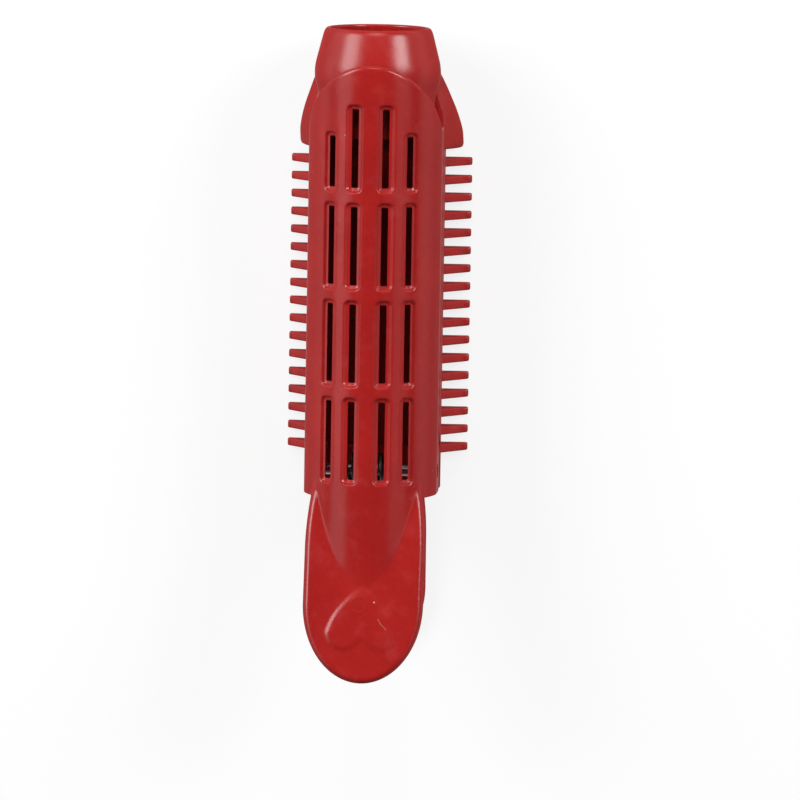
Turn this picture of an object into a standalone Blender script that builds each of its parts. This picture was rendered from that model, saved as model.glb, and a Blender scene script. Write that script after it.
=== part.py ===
"""Vented root-lift hair clip: a half-round slotted cover jaw sprung shut on a comb roller jaw.

X runs across the clip, Y from the thumb tabs to the open collar, and Z up from the table. The origin is
on the table, under the middle of the clip. A "station" is a distance back from the collar's rim, and a
"rise" is a height above the axis of the cover's half-round.
"""

import math

import bmesh
import bpy
from mathutils import Matrix, Vector

# Overall layout
CLIP_LENGTH = 0.105
PART_GAP = 0.0003
CUT_OVERRUN = 0.002
JOIN_OVERLAP = 0.0004

# Cover jaw: a half-round shell with straight flanks
COVER_RADIUS = 0.0108
COVER_WALL = 0.00125
ARCH_STATION = 0.0049
SKIRT_DROP = 0.002
ARC_STEPS = 44

# Vent slots, each in a sunk recess with round ends
SLOT_ROW_STATION = 0.0118
SLOT_ROW_PITCH = 0.01595
SLOT_PAST_TAB = 0.0008
SLOT_LENGTH = 0.0129
SHORT_SLOT_LENGTH = 0.0083
SLOT_WIDTH = 0.00105
INNER_SLOT_ARC = 0.00261
OUTER_SLOT_ARC = 0.00702
RECESS_WIDTH = 0.0026
RECESS_DEPTH = 0.00045
RECESS_MARGIN = 0.0008
ROUND_END_STEPS = 8

# Upper thumb tab
TAB_LENGTH = 0.0329
CROWN_FROM_END = 0.01523
TAB_WALL = 0.0017
TAB_SIDE_INSET = 0.00105
TAB_ROOT_SIDE_INSET = 0.0024
TAB_ROOT_LENGTH = 0.012
TAB_END_LENGTH = 0.0125
TAB_ROOT_INSET = 0.004
TAB_OUTLINE_STEPS = 14
HEART_FROM_END = 0.0087
HEART_WIDTH = 0.0124
HEART_LENGTH = 0.0104
HEART_RISE = 0.0003
HEART_STEPS = 44
GATE_FROM_END = 0.0123
GATE_SIDE = 0.0006
GATE_RADIUS = 0.00115
GATE_RISE = 0.00045
GATE_STEPS = 16

# Hinge
PIN_FROM_END = 0.033
PIN_RADIUS = 0.001
PIN_CLEARANCE = 0.0002
PIN_STEPS = 24
PIN_RECESS = 0.00035
EAR_REACH = 0.0029
EAR_WALL = 0.0015
EAR_SWING_GAP = 0.0006
EAR_STEPS = 12
FLANK_PAST_PIN = 0.0035
FLANK_CORNER = 0.0009
COVER_EAR_REACH = 0.003
COVER_EAR_DROP = 0.0031
COVER_EAR_TAPER = 0.0028

# Comb jaw: a revolved collar that opens into a trough
COMB_AXIS_DROP = 0.0015
COMB_EXTRA_DEPTH = 0.0008
COLLAR_WALL = 0.0012
COLLAR_LIP = 0.00045
COLLAR_FLARE = 0.0016
SHOULDER_INSET = 0.0005
SHOULDER_STATION = 0.0071
THROAT_STATION = 0.0107
NECK_STATION = 0.0167
ROOF_STATION = 0.0175
COLLAR_STEPS = 48
TROUGH_WALL = 0.0015
TROUGH_FLOOR = 0.0015
TROUGH_CORNER = 0.0055
TROUGH_STATION = 0.0145
LEDGE_DROP = 0.0008
CORNER_STEPS = 7

# Wings, each a thin flared plate beside the collar
WING_END_STATION = 0.0201
WING_REACH = 0.0026
WING_TABLE_GAP = 0.0006
WING_WALL = 0.001
WING_BULGE = 0.0003
WING_CORNER = 0.0007
WING_OUTLINE_POWER = 1.6
WING_STEPS = 7

# Comb teeth
FIRST_TOOTH_STATION = 0.0221
TOOTH_PITCH = 0.00292
TOOTH_REACH = 0.004
TOOTH_ROOT_THICKNESS = 0.00135
TOOTH_TIP_THICKNESS = 0.00115
TOOTH_TIP_DEPTH = 0.0009
TOOTH_TIP_ROUND = 0.0003
TOOTH_TABLE_GAP = 0.0004
TOOTH_ROOT_RISE = 0.0049

# Lower thumb tab
LOWER_TAB_ROOT_REACH = 0.003
LOWER_TAB_SLOPE = 0.03
LOWER_TAB_WALL = 0.0016
LOWER_TAB_TABLE_GAP = 0.0002
LOWER_TAB_INSET = 0.0014

# Torsion spring
WIRE_RADIUS = 0.00045
COIL_RADIUS = 0.0023
COIL_TURNS = 5
COIL_PITCH = 0.0014
COIL_POINTS_PER_TURN = 10
LEG_REACH = 0.01

# Colours and finishes
BODY_COLOUR = (0.376, 0.019, 0.015, 1.0)
STEEL_COLOUR = (0.56, 0.57, 0.58, 1.0)

# Heights and radii that follow from the ones above
COVER_INNER_RADIUS = COVER_RADIUS - COVER_WALL
COMB_AXIS_HEIGHT = COVER_RADIUS + COMB_EXTRA_DEPTH
COVER_AXIS_HEIGHT = COMB_AXIS_HEIGHT + COMB_AXIS_DROP
COMB_HALF_WIDTH = COVER_RADIUS
SHOULDER_RADIUS = COVER_RADIUS - SHOULDER_INSET
RIM_RADIUS = SHOULDER_RADIUS - COLLAR_FLARE
WING_HALF_WIDTH = COVER_RADIUS + WING_REACH
TOOTH_TIP_HALF_SPAN = COVER_RADIUS + TOOTH_REACH
TAB_HALF_WIDTH = COVER_RADIUS - TAB_SIDE_INSET
TAB_ROOT_HALF_WIDTH = COVER_RADIUS - TAB_ROOT_SIDE_INSET
TAB_RISE = math.sqrt(COVER_RADIUS**2 - TAB_ROOT_HALF_WIDTH**2)
NECK_RADIUS = COVER_INNER_RADIUS - 2 * PART_GAP
PIN_HEIGHT = COMB_AXIS_HEIGHT
EAR_OUTER_X = COVER_INNER_RADIUS - PART_GAP

# Stations that follow from the clip's length
TAB_STATION = CLIP_LENGTH - TAB_LENGTH
CROWN_STATION = CLIP_LENGTH - CROWN_FROM_END
TAB_SLOPE = (COVER_RADIUS - TAB_RISE) / (CROWN_STATION - TAB_STATION)
TAB_WIDEST_STATION = TAB_STATION + TAB_ROOT_LENGTH
HEART_STATION = CLIP_LENGTH - HEART_FROM_END
GATE_STATION = CLIP_LENGTH - GATE_FROM_END
PIN_STATION = CLIP_LENGTH - PIN_FROM_END
FLANK_STATION = PIN_STATION + FLANK_PAST_PIN
COVER_EAR_STATION = PIN_STATION - COVER_EAR_REACH
LOWER_TAB_STATION = PIN_STATION - LOWER_TAB_ROOT_REACH
LEG_STATION = PIN_STATION + LEG_REACH
WING_STATION = SHOULDER_STATION + JOIN_OVERLAP
SLOT_ROWS = 1 + int((TAB_STATION + SLOT_PAST_TAB - SLOT_ROW_STATION - SLOT_LENGTH) / SLOT_ROW_PITCH)
TEETH_PER_SIDE = 1 + int((COVER_EAR_STATION - FIRST_TOOTH_STATION) / TOOTH_PITCH)


def y_at(station):
    """World Y of a distance back from the collar's rim."""
    return CLIP_LENGTH / 2 - station


def height_at(rise):
    """World Z of a height above the cover's axis."""
    return COVER_AXIS_HEIGHT + rise


def clear_scene():
    for old in list(bpy.data.objects):
        bpy.data.objects.remove(old, do_unlink=True)


def new_collection(name, hidden=False):
    collection = bpy.data.collections.new(name)
    collection.hide_render = hidden
    bpy.context.scene.collection.children.link(collection)
    return collection


def new_material(name, colour, roughness, metallic):
    material = bpy.data.materials.new(name)
    material.use_nodes = True
    shader = material.node_tree.nodes["Principled BSDF"]
    shader.inputs["Base Color"].default_value = colour
    shader.inputs["Roughness"].default_value = roughness
    shader.inputs["Metallic"].default_value = metallic
    material.diffuse_color = colour
    return material


def object_from(name, shape, collection):
    """A mesh object that holds a bmesh, with its normals turned out."""
    bmesh.ops.recalc_face_normals(shape, faces=shape.faces)
    mesh = bpy.data.meshes.new(name)
    shape.to_mesh(mesh)
    shape.free()
    made = bpy.data.objects.new(name, mesh)
    collection.objects.link(made)
    if collection.hide_render:
        made.hide_render = True
        made.display_type = "WIRE"
    return made


def prism(outline, frame, depth):
    """A flat outline, pushed along its own normal. The frame's matrix places it."""
    shape = bmesh.new()
    corners = [shape.verts.new((across, up, 0.0)) for across, up in outline]
    base = shape.faces.new(corners)
    pushed = bmesh.ops.extrude_face_region(shape, geom=[base])
    moved = [item for item in pushed["geom"] if isinstance(item, bmesh.types.BMVert)]
    bmesh.ops.translate(shape, verts=moved, vec=(0.0, 0.0, depth))
    bmesh.ops.transform(shape, matrix=frame, verts=shape.verts)
    return shape


def prism_along_y(outline, first_station, last_station):
    """An outline in X and height, pushed from one station back to another."""
    frame = Matrix.Translation((0.0, y_at(first_station), 0.0)) @ Matrix.Rotation(math.pi / 2, 4, "X")
    return prism(outline, frame, last_station - first_station)


def prism_along_x(outline, half_width):
    """An outline in Y and height, centred on the clip's middle plane."""
    stand = Matrix(((0, 0, 1, 0), (1, 0, 0, 0), (0, 1, 0, 0), (0, 0, 0, 1)))
    return prism(outline, Matrix.Translation((-half_width, 0.0, 0.0)) @ stand, 2 * half_width)


def prism_along_z(outline, low, high):
    """An outline in X and Y, standing between two heights."""
    return prism(outline, Matrix.Translation((0.0, 0.0, low)), high - low)


def boolean(target, other, operation):
    modifier = target.modifiers.new(f"{operation.title()} {other.name}", "BOOLEAN")
    modifier.operation = operation
    modifier.object = other
    modifier.solver = "EXACT"


def arc(centre, radius, first_angle, last_angle, steps):
    """Points along an arc, both ends included."""
    points = []
    for step in range(steps + 1):
        angle = first_angle + (last_angle - first_angle) * step / steps
        points.append((centre[0] + radius * math.cos(angle), centre[1] + radius * math.sin(angle)))
    return points


def arch_outline(radius, bottom_rise):
    """The cover's cross-section: a half-round on straight flanks."""
    top = arc((0.0, height_at(0.0)), radius, 0.0, math.pi, ARC_STEPS)
    return top + [(-radius, height_at(bottom_rise)), (radius, height_at(bottom_rise))]


def loft(sections):
    """A closed body through cross-sections that all have the same number of points."""
    shape = bmesh.new()
    rings = [[shape.verts.new(point) for point in section] for section in sections]
    count = len(rings[0])
    for near, far in zip(rings, rings[1:]):
        for index in range(count):
            after = (index + 1) % count
            shape.faces.new((near[index], near[after], far[after], far[index]))
    shape.faces.new(rings[0])
    shape.faces.new(list(reversed(rings[-1])))
    return shape


def tab_rise(station):
    """Rise of the upper thumb tab's top face."""
    return TAB_RISE + TAB_SLOPE * (station - TAB_STATION)


def tab_half_width(station):
    """Half-width of the thumb tab: it swells from its root, then closes in a half ellipse."""
    round_start = CLIP_LENGTH - TAB_END_LENGTH
    if station >= round_start:
        along = min(1.0, (station - round_start) / TAB_END_LENGTH)
        return TAB_HALF_WIDTH * math.sqrt(max(0.0, 1.0 - along * along))
    short_of_widest = max(0.0, TAB_WIDEST_STATION - station) / TAB_ROOT_LENGTH
    return TAB_HALF_WIDTH - (TAB_HALF_WIDTH - TAB_ROOT_HALF_WIDTH) * short_of_widest * short_of_widest


def tab_outline(first_station, inset):
    """Plan of a thumb tab, from its root round its end and back."""
    round_start = CLIP_LENGTH - TAB_END_LENGTH
    side = []
    for step in range(TAB_OUTLINE_STEPS):
        station = first_station + (round_start - first_station) * step / TAB_OUTLINE_STEPS
        side.append((tab_half_width(station) - inset, y_at(station)))
    for step in range(TAB_OUTLINE_STEPS):
        angle = math.pi / 2 * step / TAB_OUTLINE_STEPS
        across = (TAB_HALF_WIDTH - inset) * math.cos(angle)
        side.append((across, y_at(round_start + (TAB_END_LENGTH - inset) * math.sin(angle))))
    tip = [(0.0, y_at(CLIP_LENGTH - inset))]
    return side + tip + [(-across, along) for across, along in reversed(side)]


def sloped_plate(outline, top_height, slope, thickness):
    """A plan outline as a plate whose height changes by the slope for each metre of station."""
    shape = prism_along_z(outline, -thickness, 0.0)
    for corner in shape.verts:
        corner.co.z += top_height + slope * (y_at(0.0) - corner.co.y)
    return shape


def heart_outline():
    """A plain heart with its point towards the cover, in X and Y about the heart's middle.

    The steps beside its point and its cleft crowd together there, so they are left out.
    """
    points = []
    half = HEART_STEPS // 2
    for step in range(HEART_STEPS):
        if step % half in (1, half - 1):
            continue
        turn = 2 * math.pi * step / HEART_STEPS
        across = math.sin(turn) ** 3
        lobe_terms = 13 * math.cos(turn) - 5 * math.cos(2 * turn) - 2 * math.cos(3 * turn)
        along = (lobe_terms - math.cos(4 * turn)) / 14.5
        points.append((across * HEART_WIDTH / 2, -along * HEART_LENGTH / 2))
    return points


def build_slots(cutters):
    """Cutters for every vent: a narrow through slot, and the sunk recess round it."""
    slots = bmesh.new()
    recesses = bmesh.new()
    for row in range(SLOT_ROWS):
        back_end = SLOT_ROW_STATION + row * SLOT_ROW_PITCH + SLOT_LENGTH
        for arc_place in (-OUTER_SLOT_ARC, -INNER_SLOT_ARC, INNER_SLOT_ARC, OUTER_SLOT_ARC):
            short = row == 0 and abs(arc_place) == OUTER_SLOT_ARC
            length = SHORT_SLOT_LENGTH if short else SLOT_LENGTH
            middle = back_end - length / 2
            turn = arc_place / COVER_RADIUS
            add_vent(slots, middle, turn, length, SLOT_WIDTH, COVER_INNER_RADIUS - CUT_OVERRUN)
            recess_length = length + 2 * RECESS_MARGIN
            recess_floor = COVER_RADIUS - RECESS_DEPTH
            add_vent(recesses, middle, turn, recess_length, RECESS_WIDTH, recess_floor)
    return object_from("vent_slots", slots, cutters), object_from("vent_recesses", recesses, cutters)


def add_vent(shape, station, turn, length, width, floor_radius):
    """One stadium-shaped cutter that points out of the cover's axis."""
    straight = length / 2 - width / 2
    front = arc((0.0, straight), width / 2, 0.0, math.pi, ROUND_END_STEPS)
    back = arc((0.0, -straight), width / 2, math.pi, 2 * math.pi, ROUND_END_STEPS)
    place = (
        Matrix.Translation((0.0, y_at(station), height_at(0.0)))
        @ Matrix.Rotation(turn, 4, "Y")
        @ Matrix.Translation((0.0, 0.0, floor_radius))
    )
    cutter = prism(front + back, place, COVER_RADIUS + CUT_OVERRUN - floor_radius)
    scratch = bpy.data.meshes.new("vent")
    cutter.to_mesh(scratch)
    cutter.free()
    shape.from_mesh(scratch)
    bpy.data.meshes.remove(scratch)


def cover_side_outline():
    """Side view of the cover jaw: skirt, hinge ear, flank end and the underside of the tab."""
    ear_bottom = height_at(-COMB_AXIS_DROP - COVER_EAR_DROP)
    skirt = height_at(-SKIRT_DROP)
    underside = height_at(tab_rise(FLANK_STATION) - TAB_WALL)
    end_underside = height_at(tab_rise(CLIP_LENGTH + CUT_OVERRUN) - TAB_WALL)
    top = height_at(tab_rise(CLIP_LENGTH + CUT_OVERRUN) + CUT_OVERRUN)
    corner_centre = (y_at(FLANK_STATION - FLANK_CORNER), ear_bottom + FLANK_CORNER)
    corner = arc(corner_centre, FLANK_CORNER, 1.5 * math.pi, math.pi, CORNER_STEPS)
    return (
        [(y_at(ARCH_STATION - CUT_OVERRUN), skirt)]
        + [(y_at(COVER_EAR_STATION - COVER_EAR_TAPER), skirt)]
        + [(y_at(COVER_EAR_STATION), ear_bottom)]
        + corner
        + [(y_at(FLANK_STATION), underside)]
        + [(y_at(CLIP_LENGTH + CUT_OVERRUN), end_underside)]
        + [(y_at(CLIP_LENGTH + CUT_OVERRUN), top)]
        + [(y_at(ARCH_STATION - CUT_OVERRUN), top)]
    )


def build_cover(parts, cutters, material):
    """The vented cover jaw and its thumb tab, cut from an arch-shaped bar and a sloped plate."""
    dome_end = CROWN_STATION + JOIN_OVERLAP / 2 / TAB_SLOPE
    flank_bottom = -COMB_AXIS_DROP - COVER_EAR_DROP - CUT_OVERRUN
    bar = prism_along_y(arch_outline(COVER_RADIUS, flank_bottom), ARCH_STATION, dome_end)
    cover = object_from("cover_jaw", bar, parts)
    cover.data.materials.append(material)

    root = TAB_STATION - TAB_ROOT_INSET
    thick = TAB_WALL + JOIN_OVERLAP
    plate = sloped_plate(tab_outline(root, 0.0), height_at(tab_rise(0.0)), TAB_SLOPE, thick)
    boolean(cover, object_from("upper_tab_plate", plate, cutters), "UNION")

    side = prism_along_x(cover_side_outline(), COVER_RADIUS + CUT_OVERRUN)
    boolean(cover, object_from("cover_side_view", side, cutters), "INTERSECT")

    hollow_bottom = flank_bottom - CUT_OVERRUN
    hollow = prism_along_y(
        arch_outline(COVER_INNER_RADIUS, hollow_bottom), ARCH_STATION - CUT_OVERRUN, CLIP_LENGTH
    )
    boolean(cover, object_from("cover_hollow", hollow, cutters), "DIFFERENCE")

    arch_centre = y_at(ARCH_STATION + COVER_RADIUS)
    reach = COVER_RADIUS + CUT_OVERRUN
    front = y_at(ARCH_STATION - 2 * CUT_OVERRUN)
    plan = arc((0.0, arch_centre), COVER_RADIUS, math.pi, 0.0, ARC_STEPS)
    plan = [(-reach, arch_centre)] + plan + [(reach, arch_centre), (reach, front), (-reach, front)]
    trim = prism_along_z(plan, height_at(hollow_bottom), height_at(reach))
    boolean(cover, object_from("arch_trim", trim, cutters), "DIFFERENCE")

    slots, recesses = build_slots(cutters)
    boolean(cover, recesses, "DIFFERENCE")
    boolean(cover, slots, "DIFFERENCE")
    boolean(cover, pin_bore(cutters, "cover_pin_bore"), "DIFFERENCE")

    heart_height = height_at(tab_rise(0.0)) + HEART_RISE
    heart = [(across, along + y_at(HEART_STATION)) for across, along in heart_outline()]
    heart_plate = sloped_plate(heart, heart_height, TAB_SLOPE, HEART_RISE + JOIN_OVERLAP)
    boolean(cover, object_from("heart_relief", heart_plate, cutters), "UNION")

    gate_centre = (-GATE_SIDE, y_at(GATE_STATION))
    gate_height = height_at(tab_rise(0.0)) + GATE_RISE
    gate = arc(gate_centre, GATE_RADIUS, 0.0, 2 * math.pi, GATE_STEPS)[:-1]
    gate_plate = sloped_plate(gate, gate_height, TAB_SLOPE, GATE_RISE + JOIN_OVERLAP)
    boolean(cover, object_from("gate_mark", gate_plate, cutters), "UNION")
    finish(cover)
    return cover


def pin_bore(cutters, name):
    """A cutter for the pin's holes, right across the clip."""
    centre = (y_at(PIN_STATION), PIN_HEIGHT)
    circle = arc(centre, PIN_RADIUS + PIN_CLEARANCE, 0.0, 2 * math.pi, PIN_STEPS)[:-1]
    return object_from(name, prism_along_x(circle, COVER_RADIUS + CUT_OVERRUN), cutters)


def finish(part):
    part.data.shade_smooth()
    part.data.set_sharp_from_angle(angle=math.radians(30))


def collar_profile(inset):
    """Radius and station along the collar, from its rim to the end of its roof."""
    return [
        (RIM_RADIUS - inset, 0.0),
        (SHOULDER_RADIUS - inset, SHOULDER_STATION),
        (NECK_RADIUS + (SHOULDER_RADIUS - NECK_RADIUS) / 3 - inset, THROAT_STATION),
        (NECK_RADIUS - inset, NECK_STATION),
        (NECK_RADIUS - inset, ROOF_STATION),
    ]


def build_collar(parts):
    """The collar as a profile turned about the comb's axis, rounded at the rim."""
    outside = collar_profile(0.0)
    inside = collar_profile(COLLAR_WALL)
    profile = (
        [(outside[0][0] - COLLAR_LIP, 0.0), (outside[0][0], COLLAR_LIP)]
        + outside[1:]
        + list(reversed(inside[1:]))
        + [(inside[0][0], COLLAR_LIP), (inside[0][0] + COLLAR_LIP / 2, 0.0)]
    )
    shape = bmesh.new()
    ring = [shape.verts.new((radius, 0.0, -station)) for radius, station in profile]
    for index, corner in enumerate(ring):
        shape.edges.new((corner, ring[(index + 1) % len(ring)]))
    mesh = bpy.data.meshes.new("comb_jaw")
    shape.to_mesh(mesh)
    shape.free()
    collar = bpy.data.objects.new("comb_jaw", mesh)
    parts.objects.link(collar)
    screw = collar.modifiers.new("Turn", "SCREW")
    screw.axis = "Z"
    screw.steps = COLLAR_STEPS
    screw.render_steps = COLLAR_STEPS
    screw.use_merge_vertices = True
    screw.merge_threshold = 0.00001
    collar.location = (0.0, y_at(0.0), COMB_AXIS_HEIGHT)
    collar.rotation_euler = (-math.pi / 2, 0.0, 0.0)
    return collar


def trough_section(half_width, depth, corner, top):
    """U-shaped outline below the comb's axis: straight sides, round corners, flat bottom."""
    low = COMB_AXIS_HEIGHT - depth + corner
    right = arc((half_width - corner, low), corner, 0.0, -math.pi / 2, CORNER_STEPS)
    left = arc((corner - half_width, low), corner, -math.pi / 2, -math.pi, CORNER_STEPS)
    return [(half_width, top)] + right + left + [(-half_width, top)]


def build_trough(cutters):
    """The trough's outside: round where it leaves the collar, square-shouldered further back."""
    collar_end = (SHOULDER_STATION, SHOULDER_RADIUS - JOIN_OVERLAP, SHOULDER_RADIUS - JOIN_OVERLAP)
    stations = (
        (collar_end[0], collar_end[1], collar_end[2], collar_end[1]),
        (TROUGH_STATION, COMB_HALF_WIDTH, COMB_AXIS_HEIGHT, TROUGH_CORNER),
        (FLANK_STATION, COMB_HALF_WIDTH, COMB_AXIS_HEIGHT, TROUGH_CORNER),
    )
    sections = []
    for station, half_width, depth, corner in stations:
        outline = trough_section(half_width, depth, corner, COMB_AXIS_HEIGHT + JOIN_OVERLAP)
        sections.append([(across, y_at(station), up) for across, up in outline])
    trough = object_from("trough_outside", loft(sections), cutters)

    reach = COVER_RADIUS + CUT_OVERRUN
    ledge = COMB_AXIS_HEIGHT - LEDGE_DROP
    above = [(-reach, ledge), (reach, ledge), (reach, ledge + reach), (-reach, ledge + reach)]
    lid = prism_along_y(above, 0.0, CLIP_LENGTH)
    boolean(trough, object_from("trough_lid", lid, cutters), "DIFFERENCE")
    return trough


def comb_side_cut():
    """Side view of what is cut from the comb jaw above its walls and round the cover's ears."""
    swing = math.hypot(FLANK_STATION - PIN_STATION, COVER_EAR_DROP) + EAR_SWING_GAP
    slant_foot = COVER_EAR_STATION - COVER_EAR_TAPER / 4
    ledge = COMB_AXIS_HEIGHT - LEDGE_DROP
    far = y_at(FLANK_STATION + CUT_OVERRUN)
    top = height_at(COVER_RADIUS)
    return [
        (y_at(slant_foot - COVER_EAR_TAPER - PART_GAP), ledge),
        (y_at(slant_foot), PIN_HEIGHT - swing),
        (far, PIN_HEIGHT - swing),
        (far, top),
        (y_at(slant_foot - COVER_EAR_TAPER - PART_GAP), top),
    ]


def build_comb(parts, cutters, material):
    """The comb roller jaw: collar, trough, wings, teeth, inner ears and lower thumb tab."""
    comb = build_collar(parts)
    comb.data.materials.append(material)
    boolean(comb, build_trough(cutters), "UNION")

    boolean(comb, build_bore(cutters), "DIFFERENCE")

    inner_width = COMB_HALF_WIDTH - TROUGH_WALL
    inner_depth = COMB_AXIS_HEIGHT - TROUGH_FLOOR
    inner = trough_section(inner_width, inner_depth, TROUGH_CORNER - TROUGH_WALL, COMB_AXIS_HEIGHT)
    hollow = prism_along_y(inner, ROOF_STATION - TROUGH_WALL, FLANK_STATION + CUT_OVERRUN)
    boolean(comb, object_from("trough_hollow", hollow, cutters), "DIFFERENCE")

    reach = COVER_RADIUS + CUT_OVERRUN
    ledge = COMB_AXIS_HEIGHT - LEDGE_DROP
    above = [(-reach, ledge), (reach, ledge), (reach, ledge + reach), (-reach, ledge + reach)]
    opening = prism_along_y(above, ROOF_STATION - JOIN_OVERLAP, CLIP_LENGTH)
    boolean(comb, object_from("trough_opening", opening, cutters), "DIFFERENCE")
    side_cut = prism_along_x(comb_side_cut(), reach)
    boolean(comb, object_from("hinge_side_cut", side_cut, cutters), "DIFFERENCE")

    boolean(comb, build_ears(cutters), "UNION")
    boolean(comb, pin_bore(cutters, "comb_pin_bore"), "DIFFERENCE")
    boolean(comb, build_lower_tab(cutters), "UNION")
    boolean(comb, build_wings(cutters), "UNION")
    boolean(comb, build_teeth(cutters), "UNION")
    finish(comb)
    return comb


def build_bore(cutters):
    """What is cut out of the collar, so that the trough's closed end opens into it."""
    outline = collar_profile(COLLAR_WALL)
    sections = []
    for radius, station in [(outline[0][0], -CUT_OVERRUN)] + outline:
        circle = arc((0.0, COMB_AXIS_HEIGHT), radius, 0.0, 2 * math.pi, COLLAR_STEPS)[:-1]
        sections.append([(across, y_at(station), up) for across, up in circle])
    return object_from("collar_bore", loft(sections), cutters)


def build_ears(cutters):
    """Two hinge ears that stand on the trough's floor inside the cover's flanks."""
    floor = TROUGH_FLOOR - JOIN_OVERLAP
    pin = (y_at(PIN_STATION), PIN_HEIGHT)
    crown = arc(pin, EAR_REACH, 0.0, math.pi, EAR_STEPS)
    foot = EAR_REACH + EAR_WALL
    outline = crown + [(pin[0] - FLANK_PAST_PIN, floor), (pin[0] + foot, floor)]
    both = prism_along_x(outline, EAR_OUTER_X)
    ears = object_from("comb_ears", both, cutters)
    inside = EAR_OUTER_X - EAR_WALL
    box = [(-inside, -CUT_OVERRUN), (inside, -CUT_OVERRUN)]
    box += [(inside, height_at(COVER_RADIUS)), (-inside, height_at(COVER_RADIUS))]
    middle = prism_along_y(box, PIN_STATION - 2 * foot, PIN_STATION + 2 * foot)
    boolean(ears, object_from("ear_middle", middle, cutters), "DIFFERENCE")
    return ears


def build_lower_tab(cutters):
    """The lower thumb tab, a sloped plate that leaves the trough's floor."""
    end_top = LOWER_TAB_TABLE_GAP + LOWER_TAB_WALL
    top_at_rim = end_top + LOWER_TAB_SLOPE * CLIP_LENGTH
    outline = tab_outline(LOWER_TAB_STATION, LOWER_TAB_INSET)
    plate = sloped_plate(outline, top_at_rim, -LOWER_TAB_SLOPE, LOWER_TAB_WALL)
    return object_from("lower_tab_plate", plate, cutters)


def trough_half_width(station):
    """Half-width of the trough, which spreads from the collar's shoulder to the cover's width."""
    spread = min(1.0, (station - SHOULDER_STATION) / (TROUGH_STATION - SHOULDER_STATION))
    start = SHOULDER_RADIUS - JOIN_OVERLAP
    return start + (COMB_HALF_WIDTH - start) * spread


def wing_section(station, side):
    """A curved strip from beside the collar down to the wing's outer edge."""
    along = (station - WING_STATION) / (WING_END_STATION - WING_STATION)
    start_x = trough_half_width(WING_STATION)
    top_x = trough_half_width(station) - JOIN_OVERLAP / 2
    low_x = start_x + (WING_HALF_WIDTH - start_x) * (1 - (1 - along) ** WING_OUTLINE_POWER)
    into_corner = max(0.0, station - (WING_END_STATION - WING_CORNER))
    low_x -= WING_CORNER - math.sqrt(max(0.0, WING_CORNER**2 - into_corner**2))
    top_z = COMB_AXIS_HEIGHT - LEDGE_DROP - JOIN_OVERLAP
    low_z = top_z - WING_WALL - (top_z - WING_TABLE_GAP - WING_WALL) * along
    outer = []
    for step in range(WING_STEPS + 1):
        share = step / WING_STEPS
        bulge = WING_BULGE * along * math.sin(math.pi * share)
        across = top_x + (low_x - top_x) * share + bulge
        outer.append((across, top_z + (low_z - top_z) * share))
    inner = [(across - WING_WALL, up - WING_WALL * along / 2) for across, up in reversed(outer)]
    return [(side * across, y_at(station), up) for across, up in outer + inner]


def build_wings(cutters):
    wings = bmesh.new()
    for side in (-1, 1):
        corner_start = WING_END_STATION - WING_CORNER
        stations = []
        for step in range(WING_STEPS + 1):
            stations.append(WING_STATION + (corner_start - WING_STATION) * step / WING_STEPS)
        stations += [corner_start + WING_CORNER * math.sin(math.pi / 4), WING_END_STATION]
        one = loft([wing_section(station, side) for station in stations])
        scratch = bpy.data.meshes.new("wing")
        one.to_mesh(scratch)
        one.free()
        wings.from_mesh(scratch)
        bpy.data.meshes.remove(scratch)
    return object_from("wings", wings, cutters)


def tooth_outline():
    """A tooth in X and height: a gusset that is deep at the trough's wall and thin at its tip."""
    low = TOOTH_TABLE_GAP
    corner_x = COMB_HALF_WIDTH - TROUGH_CORNER
    mid_wall = TROUGH_CORNER - TROUGH_WALL / 2
    root_angle = math.asin((TROUGH_CORNER - TOOTH_ROOT_RISE) / mid_wall)
    foot_angle = math.asin((TROUGH_CORNER - low - TROUGH_WALL / 3) / mid_wall)
    root = arc((corner_x, TROUGH_CORNER), mid_wall, -foot_angle, -root_angle, CORNER_STEPS)
    tip_top = low + TOOTH_TIP_DEPTH
    shoulder_x = TOOTH_TIP_HALF_SPAN - TOOTH_TIP_ROUND
    return root + [(shoulder_x, tip_top), (TOOTH_TIP_HALF_SPAN, tip_top - TOOTH_TIP_ROUND / 2),
                   (TOOTH_TIP_HALF_SPAN, low + TOOTH_TIP_ROUND / 2), (shoulder_x, low)]


def build_teeth(cutters):
    """Every comb tooth, tapered in plan towards its rounded tip."""
    outline = tooth_outline()
    teeth = bmesh.new()
    shoulder_x = TOOTH_TIP_HALF_SPAN - TOOTH_TIP_ROUND
    for side in (-1, 1):
        for number in range(TEETH_PER_SIDE):
            station = FIRST_TOOTH_STATION + number * TOOTH_PITCH
            faces = []
            for end in (-1, 1):
                face = []
                for across, up in outline:
                    reach = (across - COMB_HALF_WIDTH) / (shoulder_x - COMB_HALF_WIDTH)
                    taper = min(1.0, max(0.0, reach))
                    half = TOOTH_ROOT_THICKNESS + (TOOTH_TIP_THICKNESS - TOOTH_ROOT_THICKNESS) * taper
                    half /= 2
                    if across > shoulder_x:
                        half -= TOOTH_TIP_ROUND
                    face.append((side * across, y_at(station) + end * half, up))
                faces.append(face)
            tooth = loft(faces)
            scratch = bpy.data.meshes.new("tooth")
            tooth.to_mesh(scratch)
            tooth.free()
            teeth.from_mesh(scratch)
            bpy.data.meshes.remove(scratch)
    return object_from("teeth", teeth, cutters)


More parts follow.
